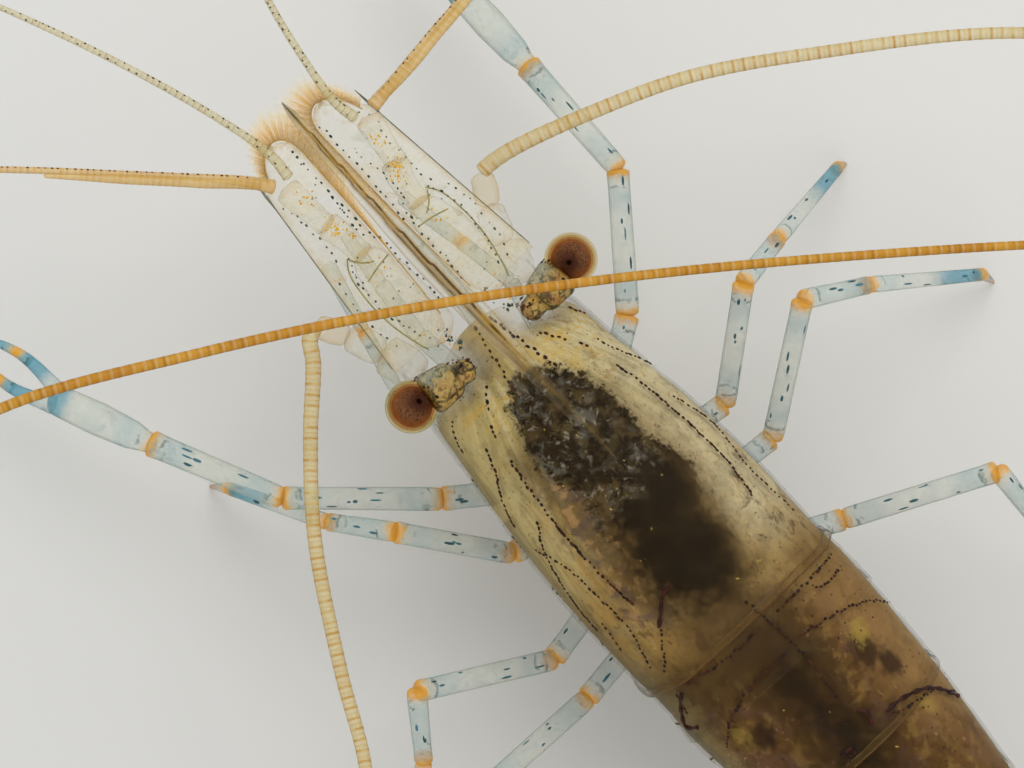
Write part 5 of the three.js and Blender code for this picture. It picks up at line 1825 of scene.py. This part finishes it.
# Lines of dots on the shell: x, then the distance from the midline as a share of the half width.
BACK_LINES = (
    ((-0.8, 0.13), (-1.4, 0.17), (-2.4, 0.21), (-3.6, 0.27)),
    ((-0.9, -0.08), (-1.8, -0.11), (-2.8, -0.16), (-3.9, -0.2)),
    ((-2.5, -0.34), (-2.9, -0.4), (-3.3, -0.48)),
    ((-3.8, -0.55), (-4.2, -0.6)),
    ((-2.6, -0.78), (-3.1, -0.86)),
    ((-4.1, -0.72), (-4.6, -0.76), (-5.5, -0.86), (-6.1, -0.93)),
    ((-5.3, -0.64), (-6.2, -0.67), (-8.6, -0.69), (-10.2, -0.69), (-12.0, -0.63)),
    ((-7.5, -0.8), (-9.2, -0.88), (-11.1, -0.8), (-13.5, -0.84)),
    ((-2.6, 0.44), (-2.9, 0.5), (-3.3, 0.56)),
    ((-3.8, 0.64), (-4.2, 0.67)),
    ((-2.7, 0.87), (-3.2, 0.93), (-3.9, 0.96)),
    ((-4.3, 0.8), (-5.2, 0.86), (-6.0, 0.93), (-7.0, 0.97)),
    ((-5.2, 0.7), (-6.4, 0.72), (-9.1, 0.73), (-11.9, 0.69)),
    ((-7.5, 0.83), (-8.3, 0.91), (-9.8, 0.96), (-11.9, 0.98)),
    ((-8.2, 0.95), (-9.4, 0.87), (-11.2, 0.83), (-12.6, 0.83), (-14.2, 0.91)),
    ((-11.8, 0.93), (-13.0, 0.96)),
    ((-13.3, 0.67), (-14.0, 0.77), (-14.7, 0.87)),
    ((-14.6, 0.03), (-16.2, 0.0), (-17.7, -0.01), (-19.4, 0.02)),
    ((-16.8, -0.1), (-16.9, -0.22), (-17.3, -0.56), (-17.9, -0.8), (-18.3, -0.89)),
    ((-16.9, 0.1), (-16.9, 0.4), (-17.3, 0.71), (-18.1, 0.89)),
    ((-21.1, -0.2), (-21.3, -0.36), (-21.7, -0.69), (-22.4, -0.86)),
    ((-21.1, 0.2), (-21.3, 0.36), (-21.7, 0.69), (-22.4, 0.86)),
    ((-16.0, -0.47), (-16.2, -0.62), (-16.1, -0.73)),
    ((-15.5, 0.9), (-16.3, 0.93)),
    ((-15.6, -0.1), (-15.6, -0.45), (-15.6, -0.8)),
    ((-15.6, 0.1), (-15.6, 0.45), (-15.4, 0.8)),
    *(((x, side * a), (x - lean, side * b)) for x, lean, a, b in SIDE_LINES for side in (1, -1)),
)
THICK_LINES = (6, 11, 12, 13)
SPECKS = 2300
SPECKS_PER_FLECK = 20        # every twentieth speck is a golden fleck
STROKES = (
    ((-12.3, 0.38), (-12.4, 0.48), (-12.9, 0.6), (-13.2, 0.67)),
    ((-20.1, -0.02), (-20.5, -0.08), (-20.9, -0.03)),
    ((-20.9, -0.2), (-21.0, -0.4), (-21.5, -0.66), (-22.6, -0.86)),
    ((-21.0, 0.22), (-20.9, 0.34)),
    ((-21.3, 0.4), (-21.6, 0.58), (-22.1, 0.78)),
    ((-15.5, 0.86), (-15.9, 0.93), (-16.7, 0.98), (-16.9, 0.93)),
)


DOT_THICKNESS = 0.06


class Dots:
    """Many copies of one dot, each with its tone, drawn in turn and made into one piece."""

    def __init__(self, rng):
        self.rng = rng
        self.frames = []
        self.tones = []

    def add(self, spot, way, out, sizes, power=1.0):
        self.frames.append(aligned(spot, way, out, sizes))
        self.tones.append(self.rng.random() ** power)

    def along(self, path, spacing, width, jitter=0.045):
        """A line of dots through a list of (place, way out) pairs."""
        rng = self.rng
        travelled, wait = 0.0, 0.0
        for (a, normal_a), (b, normal_b) in zip(path, path[1:]):
            step = (b - a).length
            while wait <= travelled + step and step > 0:
                share = (wait - travelled) / step
                normal = normal_a.lerp(normal_b, share).normalized()
                side = normal.cross(b - a).normalized() * rng.uniform(-jitter, jitter)
                size = rng.uniform(0.7, 1.25)
                sizes = (width * 1.25 * size * rng.uniform(0.8, 1.4), width * size, DOT_THICKNESS)
                self.add(a.lerp(b, share) + side, b - a, normal, sizes, 2)
                wait += spacing * rng.uniform(0.7, 1.35)
            travelled += step

    def build(self, name, material, slot, nodes):
        copies(name, dot_shape(), self.frames, material, nodes, self.tones)


LINE_LIFT = 0.01             # how far the lines of dots stand off the shell


def back_path(points, count=60):
    """Places on the shell along a line of (x, share) points."""
    flat = Route([(x, share * 4.4, 0) for x, share in points])
    path = []
    for k in range(count + 1):
        spot, _, _ = flat.at(flat.length * k / count)
        raised = LINE_LIFT + 0.06 * ease(CARAPACE_REAR, CARAPACE_REAR - 0.4, spot.x)
        path.append(on_back(spot.x, spot.y / 4.4, raised))
    return path


def back_pigment():
    """The dotted lines, the short strokes and the scattered specks of the shell."""
    rng = random.Random(5)
    width, gap = setting("dot"), setting("dot_gap")
    dots, flecks = Dots(rng), Dots(rng)
    for k, points in enumerate(BACK_LINES):
        heavy, close = (1.15, 0.85) if k in THICK_LINES else (1.0, 1.0)
        dots.along(back_path(points), gap * close, width * heavy)
    for k in range(SPECKS):
        x = rng.uniform(-37.0, -1.8)
        share = rng.uniform(-1.75, 1.75)
        if 0.97 < abs(share) < 1.35 or abs(share) > 1 and x > -3.5:
            continue
        raised = 0.004 + 0.055 * ease(CARAPACE_REAR, CARAPACE_REAR - 0.4, x)
        spot, out = on_back(x, share, raised)
        way = Vector((1, rng.uniform(-1, 1), 0.1))
        if k % SPECKS_PER_FLECK == 0:
            size = width * rng.uniform(0.2, 0.5)
            flecks.add(spot, way, out, (size * rng.uniform(1.0, 3.0), size, 0.02))
        else:
            size = width * rng.uniform(0.22, 0.55) * (1.4 if x < CARAPACE_REAR else 1.0)
            dots.add(spot, way, out, (size, size, 0.02))
    dots.build("shell_dots", "pigment", "shell", ["carapace"])
    flecks.build("shell_flecks", "yellow_pigment", "shell", ["carapace"])

    bm = bmesh.new()
    for points in STROKES:
        route = Route([p for p, _ in back_path(points, 24)], straight=True)
        tube(bm, route, lambda d: 0.05 + 0.045 * math.sin(d * 5.0) ** 2, around=8, gap=0.08, cap=0.05,
             squash=0.4)
    piece("shell_strokes", bm, "stroke", ["carapace"])


HEAD_ROWS = (                # x and y on the left, then the gap, size and height of the dots
    (((8.5, 0.68), (7.4, 0.72), (6.0, 0.72), (5.0, 0.7), (3.9, 0.6)), 0.34, 0.085, 11.25),
    (((4.0, 0.68), (2.6, 0.58), (1.6, 0.55), (0.6, 0.6)), 0.3, 0.085, 12.25),
    (((7.2, 2.35), (6.3, 2.2), (5.0, 2.22), (4.3, 2.35)), 0.3, 0.07, 11.2),
    (((4.2, 2.0), (3.3, 2.34), (2.2, 2.36), (1.3, 2.22), (0.4, 1.95)), 0.26, 0.075, 12.0),
    (((3.8, 2.75), (2.6, 2.95), (1.2, 2.85), (0.4, 2.6)), 0.34, 0.07, 11.0),
    (((6.2, 0.95), (5.2, 1.05), (4.3, 0.98)), 0.26, 0.08, 12.2),
)
GOLD_CLUSTERS = (            # x, y on the left, count, spread
    (5.4, 1.62, 34, 0.2), (5.0, 1.3, 12, 0.25), (6.7, 1.75, 16, 0.25), (3.2, 1.45, 9, 0.3),
    (-0.2, 1.4, 10, 0.3),
)
BROW_SPOTS = (               # x, y, size: between the eye stalks
    (-0.2, 1.2, 0.12), (-0.45, 1.3, 0.14), (-0.8, 1.15, 0.18), (-0.1, -0.87, 0.12), (-1.0, -1.1, 0.17),
)
LOOSE_DOTS = 26              # scattered over each side of the head
BROW_DOTS = 7                # in each spot between the stalks


def head_pigment():
    """Rows of dots on the clear plates and stalks of the head, and yellow clusters."""
    rng = random.Random(8)
    dark, yellow = Dots(rng), Dots(rng)
    for _, side in SIDES:
        for points, gap, size, height in HEAD_ROWS:
            route = Route([(x, y * side + SCALE_SHIFT * 0.5, height) for x, y in points])
            path = [(route.at(route.length * k / 40)[0], UP) for k in range(41)]
            dark.along(path, gap, size, jitter=0.06)
        for x, y, count, spread in GOLD_CLUSTERS:
            for _ in range(count):
                spot = Vector((x + rng.gauss(0, spread), y * side + rng.gauss(0, spread * 0.7), 12.32))
                size = rng.uniform(0.03, 0.085)
                way = Vector((rng.uniform(-1, 1), rng.uniform(-1, 1), 0.05))
                yellow.add(spot, way, UP, (size * 1.3, size, 0.03))
        for _ in range(LOOSE_DOTS):
            spot = Vector((rng.uniform(-0.6, 8.0), side * rng.uniform(0.7, 2.4), 12.25))
            size = rng.uniform(0.035, 0.075)
            dark.add(spot, Vector((1, 0.2, 0)), UP, (size, size, 0.03))
    for x, y, size in BROW_SPOTS:
        for _ in range(BROW_DOTS):
            spot = Vector((x + rng.gauss(0, 0.09), y + rng.gauss(0, 0.09), 12.75))
            small = size * rng.uniform(0.25, 0.75)
            dark.add(spot, Vector((1, rng.uniform(-1, 1), 0)), UP, (small * 1.4, small, 0.03))
            gold = Vector((x + rng.gauss(0, 0.2), y + rng.gauss(0, 0.2), 12.7))
            yellow.add(gold, Vector((1, rng.uniform(-1, 1), 0)), UP, (small * 0.8, small * 0.6, 0.03))
    dark.build("head_dots", "green_pigment", "clear_plate", ["rostrum"])
    yellow.build("head_yellow", "gold_pigment", "clear_plate", ["rostrum"])


STALK_DOTS = 70


def stalk_pigment():
    """Black-green and red-brown specks on the eye stalks and the skin round their roots."""
    rng = random.Random(9)
    dots = Dots(rng)
    for _, side in SIDES:
        for _ in range(STALK_DOTS):
            y = rng.uniform(1.3, 3.3)
            angle = math.radians(rng.uniform(20, 160))
            radius = ramp(((1.3, 0.36), (1.9, 0.5), (2.5, 0.68), (3.3, 0.82)), y)
            centre = Vector((-1.65 + 0.09 * y, y * side, 12.42))
            out = Vector((math.cos(angle), 0, math.sin(angle) * 0.92)).normalized()
            size = rng.uniform(0.04, 0.13)
            way = Vector((0.2, rng.uniform(-1, 1), 0.3))
            dots.add(centre + out * radius, way, out, (size * 1.3, size, 0.03), 1.5)
        spot = Vector((EYE.x - 0.35, (EYE.y - 0.85) * side, EYE.z + 0.68))
        out = Vector((0, -0.5 * side, 1)).normalized()
        dots.frames.append(aligned(spot, AHEAD, out, (0.2, 0.2, 0.08)))
        dots.tones.append(0.0)
    dots.build("stalk_dots", "pigment", "underside", [f"eye_stalk_{name}" for name, _ in SIDES])


def leg_pigment():
    """Dark teal dashes and dots along the upper side of the legs."""
    rng = random.Random(10)
    dashes = Dots(rng)
    plans = [(joints, WALKING_SIZES) for joints in WALKING_LEGS.values()]
    plans += [(spec["arm"], CLAW_SIZES) for spec in CLAW_LEGS.values()]
    for joints, sizes in plans:
        spots = [Vector(j) for j in joints]
        for k, (start, stop) in enumerate(zip(spots, spots[1:])):
            if k < 1 or k > 4:
                continue
            long = (stop - start).length
            way = (stop - start).normalized()
            side = UP.cross(way).normalized()
            lift = way.cross(side)
            for _ in range(round(long * (1.1 if k in (2, 3) else 0.7))):
                share = rng.uniform(0.1, 0.92)
                angle = math.radians(rng.uniform(35, 145))
                out = side * math.cos(angle) + lift * math.sin(angle)
                radius = mix(sizes[k], sizes[k + 1], share)
                dash = rng.uniform(0.12, 0.55)
                spot = start.lerp(stop, share) + out * radius * 0.97
                dashes.add(spot, way, out, (dash, rng.uniform(0.06, 0.13), 0.04))
    dashes.build("leg_dashes", "teal_pigment", "leg", [f"leg_{name}" for name in WALKING_LEGS])


def lash_pigment():
    """Small dark dots along the inner side of the small feelers."""
    rng = random.Random(13)
    dots = Dots(rng)
    for name, side in SIDES:
        for key, length_limit, gap in (("inner", 22.0, 0.27), ("outer", 16.0, 0.3)):
            route = Route(FLAGELLA[name][key])
            distance = 0.4
            while distance < min(length_limit, route.length - 0.5):
                spot, across, lift = route.at(distance)
                inward = across * -side
                radius = ramp(((0, 0.24), (2.5, 0.16), (12, 0.12), (30, 0.1)), distance)
                lean = 0.85 if key == "outer" else rng.choice((-0.6, 0.7))
                out = (inward * lean + lift).normalized()
                size = rng.uniform(0.05, 0.085)
                dots.add(spot + out * radius * 0.96, Vector((1, 0.1, 0)), out, (size * 1.2, size, 0.03))
                distance += gap * rng.uniform(0.6, 1.5)
    nodes = [f"antennule_inner_flagellum_{name}" for name, _ in SIDES]
    dots.build("lash_dots", "pigment", "feeler", nodes)


# ---------------------------------------------------------------- studio

WIDE = 3.0                          # half the floor's side, in metres
SKY_COLOUR = (0.98, 0.99, 1.0, 1.0)
SKY_STRENGTH = 0.77
LAMPS = (                           # name, place, width and power
    ("key", (0.1, -0.12, 0.28), 0.24, 0.36),
    ("fill", (-0.14, 0.12, 0.28), 0.3, 0.1),
)
CAMERA_SHIFT = (1.512, -2.916)      # millimetres to the right of and above the back of the head
CAMERA_PLANE = 13.6
VIEW_RIGHT = Vector((-0.681, -0.732 * math.cos(math.radians(8)), 0.732 * math.sin(math.radians(8))))


def stage():
    """A pale floor, soft light from all round and above, and the camera over the animal."""
    scene = bpy.context.scene
    settings = scene.prawn_studio
    bm = bmesh.new()
    bmesh.ops.create_grid(bm, x_segments=1, y_segments=1, size=WIDE)
    mesh = bpy.data.meshes.new("floor")
    bm.to_mesh(mesh)
    bm.free()
    mesh.materials.append(look("floor"))
    floor = bpy.data.objects.new("floor", mesh)
    scene.collection.objects.link(floor)

    world = bpy.data.worlds.new("studio")
    world.use_nodes = True
    scene.world = world
    background = world.node_tree.nodes["Background"]
    background.inputs["Color"].default_value = SKY_COLOUR
    background.inputs["Strength"].default_value = SKY_STRENGTH

    for name, spot, size, power in LAMPS:
        lamp = bpy.data.lights.new(name, "AREA")
        lamp.shape = "DISK"
        lamp.size = size
        lamp.energy = power
        light = bpy.data.objects.new(name, lamp)
        light.location = spot
        light.rotation_euler = (-Vector(spot)).to_track_quat("-Z", "Y").to_euler()
        scene.collection.objects.link(light)

    toward = Vector((0, math.sin(settings.lean), math.cos(settings.lean)))
    right = VIEW_RIGHT.normalized()
    up = toward.cross(right).normalized()
    target = Vector((0, 0, CAMERA_PLANE)) + CAMERA_SHIFT[0] * right + CAMERA_SHIFT[1] * up
    place = target * MM + HOME + toward * settings.distance
    lens = bpy.data.cameras.new("camera")
    lens.lens = settings.lens
    lens.sensor_width = 36.0
    lens.clip_start = 0.01
    lens.clip_end = 5.0
    camera = bpy.data.objects.new("camera", lens)
    turn = Matrix((right, up, toward)).transposed().to_4x4()
    camera.matrix_world = Matrix.Translation(place) @ turn
    scene.collection.objects.link(camera)
    scene.camera = camera
    scene.view_settings.view_transform = "Standard"
    scene.cycles.transparent_max_bounces = 32


# ---------------------------------------------------------------- operators

class PrawnOperator(bpy.types.Operator):
    """Shared base of the operators"""
    bl_options = {"REGISTER", "UNDO"}


class PRAWN_OT_stage(PrawnOperator):
    """Add the floor, the lights and the camera"""
    bl_idname = "prawn.stage"
    bl_label = "Stage"

    def execute(self, context):
        stage()
        return {"FINISHED"}


class PRAWN_OT_flesh(PrawnOperator):
    """Add the flesh inside the shell"""
    bl_idname = "prawn.flesh"
    bl_label = "Flesh"

    def execute(self, context):
        flesh()
        return {"FINISHED"}


class PRAWN_OT_shell(PrawnOperator):
    """Add the carapace and the rings of the abdomen"""
    bl_idname = "prawn.shell"
    bl_label = "Shell"

    def execute(self, context):
        carapace()
        for i in range(len(ABDOMEN)):
            tergite(i)
        return {"FINISHED"}


class PRAWN_OT_rostrum(PrawnOperator):
    """Add the toothed blade between the eyes"""
    bl_idname = "prawn.rostrum"
    bl_label = "Rostrum"

    def execute(self, context):
        rostrum()
        return {"FINISHED"}


class PRAWN_OT_eyes(PrawnOperator):
    """Add the eyes and their stalks"""
    bl_idname = "prawn.eyes"
    bl_label = "Eyes"

    def execute(self, context):
        for name, side in SIDES:
            eye(name, side)
            eye_stalk(name, side)
        return {"FINISHED"}


class PRAWN_OT_scales(PrawnOperator):
    """Add the antennal scales and their fringes"""
    bl_idname = "prawn.scales"
    bl_label = "Antennal Scales"

    def execute(self, context):
        for name, side in SIDES:
            antennal_scale(name, side)
        return {"FINISHED"}


class PRAWN_OT_feelers(PrawnOperator):
    """Add the small and the long feelers"""
    bl_idname = "prawn.feelers"
    bl_label = "Feelers"

    def execute(self, context):
        for name, side in SIDES:
            antennule(name, side)
            antenna(name, side)
        return {"FINISHED"}


class PRAWN_OT_legs(PrawnOperator):
    """Add the walking legs, the claw legs and the limbs by the mouth"""
    bl_idname = "prawn.legs"
    bl_label = "Legs"

    def execute(self, context):
        for name, joints in WALKING_LEGS.items():
            walking_leg(name, joints)
        for name, side in SIDES:
            claw_leg(name)
            mouth_limbs(name, side)
        return {"FINISHED"}


class PRAWN_OT_tail(PrawnOperator):
    """Add the swimming legs and the tail fan"""
    bl_idname = "prawn.tail"
    bl_label = "Swimming Legs and Tail"

    def execute(self, context):
        for name, side in SIDES:
            for i in range(5):
                swimmeret(i, name, side)
            for spec in UROPODS:
                uropod_blade(name, side, spec)
        telson()
        return {"FINISHED"}


class PRAWN_OT_pigment(PrawnOperator):
    """Add the dots, dashes and strokes of pigment"""
    bl_idname = "prawn.pigment"
    bl_label = "Pigment"

    def execute(self, context):
        back_pigment()
        head_pigment()
        stalk_pigment()
        leg_pigment()
        lash_pigment()
        return {"FINISHED"}


OPERATORS = (
    PRAWN_OT_stage, PRAWN_OT_flesh, PRAWN_OT_shell, PRAWN_OT_rostrum, PRAWN_OT_eyes, PRAWN_OT_scales,
    PRAWN_OT_feelers, PRAWN_OT_legs, PRAWN_OT_tail, PRAWN_OT_pigment,
)


class PRAWN_PT_panel(bpy.types.Panel):
    """The prawn's settings and operators"""
    bl_label = "Rockpool Prawn"
    bl_space_type = "VIEW_3D"
    bl_region_type = "UI"
    bl_category = "Prawn"

    def draw(self, context):
        for group in (context.scene.prawn_sizes, context.scene.prawn_colours, context.scene.prawn_studio):
            box = self.layout.box()
            for key in group.__annotations__:
                box.prop(group, key)
        for operator in OPERATORS:
            self.layout.operator(operator.bl_idname)


GROUPS = (PrawnSizes, PrawnColours, StudioSettings)
CLASSES = (*GROUPS, *OPERATORS, PRAWN_PT_panel)


def register():
    for cls in CLASSES:
        bpy.utils.register_class(cls)
    bpy.types.Scene.prawn_sizes = PointerProperty(type=PrawnSizes)
    bpy.types.Scene.prawn_colours = PointerProperty(type=PrawnColours)
    bpy.types.Scene.prawn_studio = PointerProperty(type=StudioSettings)


def unregister():
    del bpy.types.Scene.prawn_studio
    del bpy.types.Scene.prawn_colours
    del bpy.types.Scene.prawn_sizes
    for cls in reversed(CLASSES):
        bpy.utils.unregister_class(cls)


def main():
    """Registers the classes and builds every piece."""
    register()
    for operator in OPERATORS:
        group, name = operator.bl_idname.split(".")
        getattr(getattr(bpy.ops, group), name)()


if __name__ == "__main__":
    main()
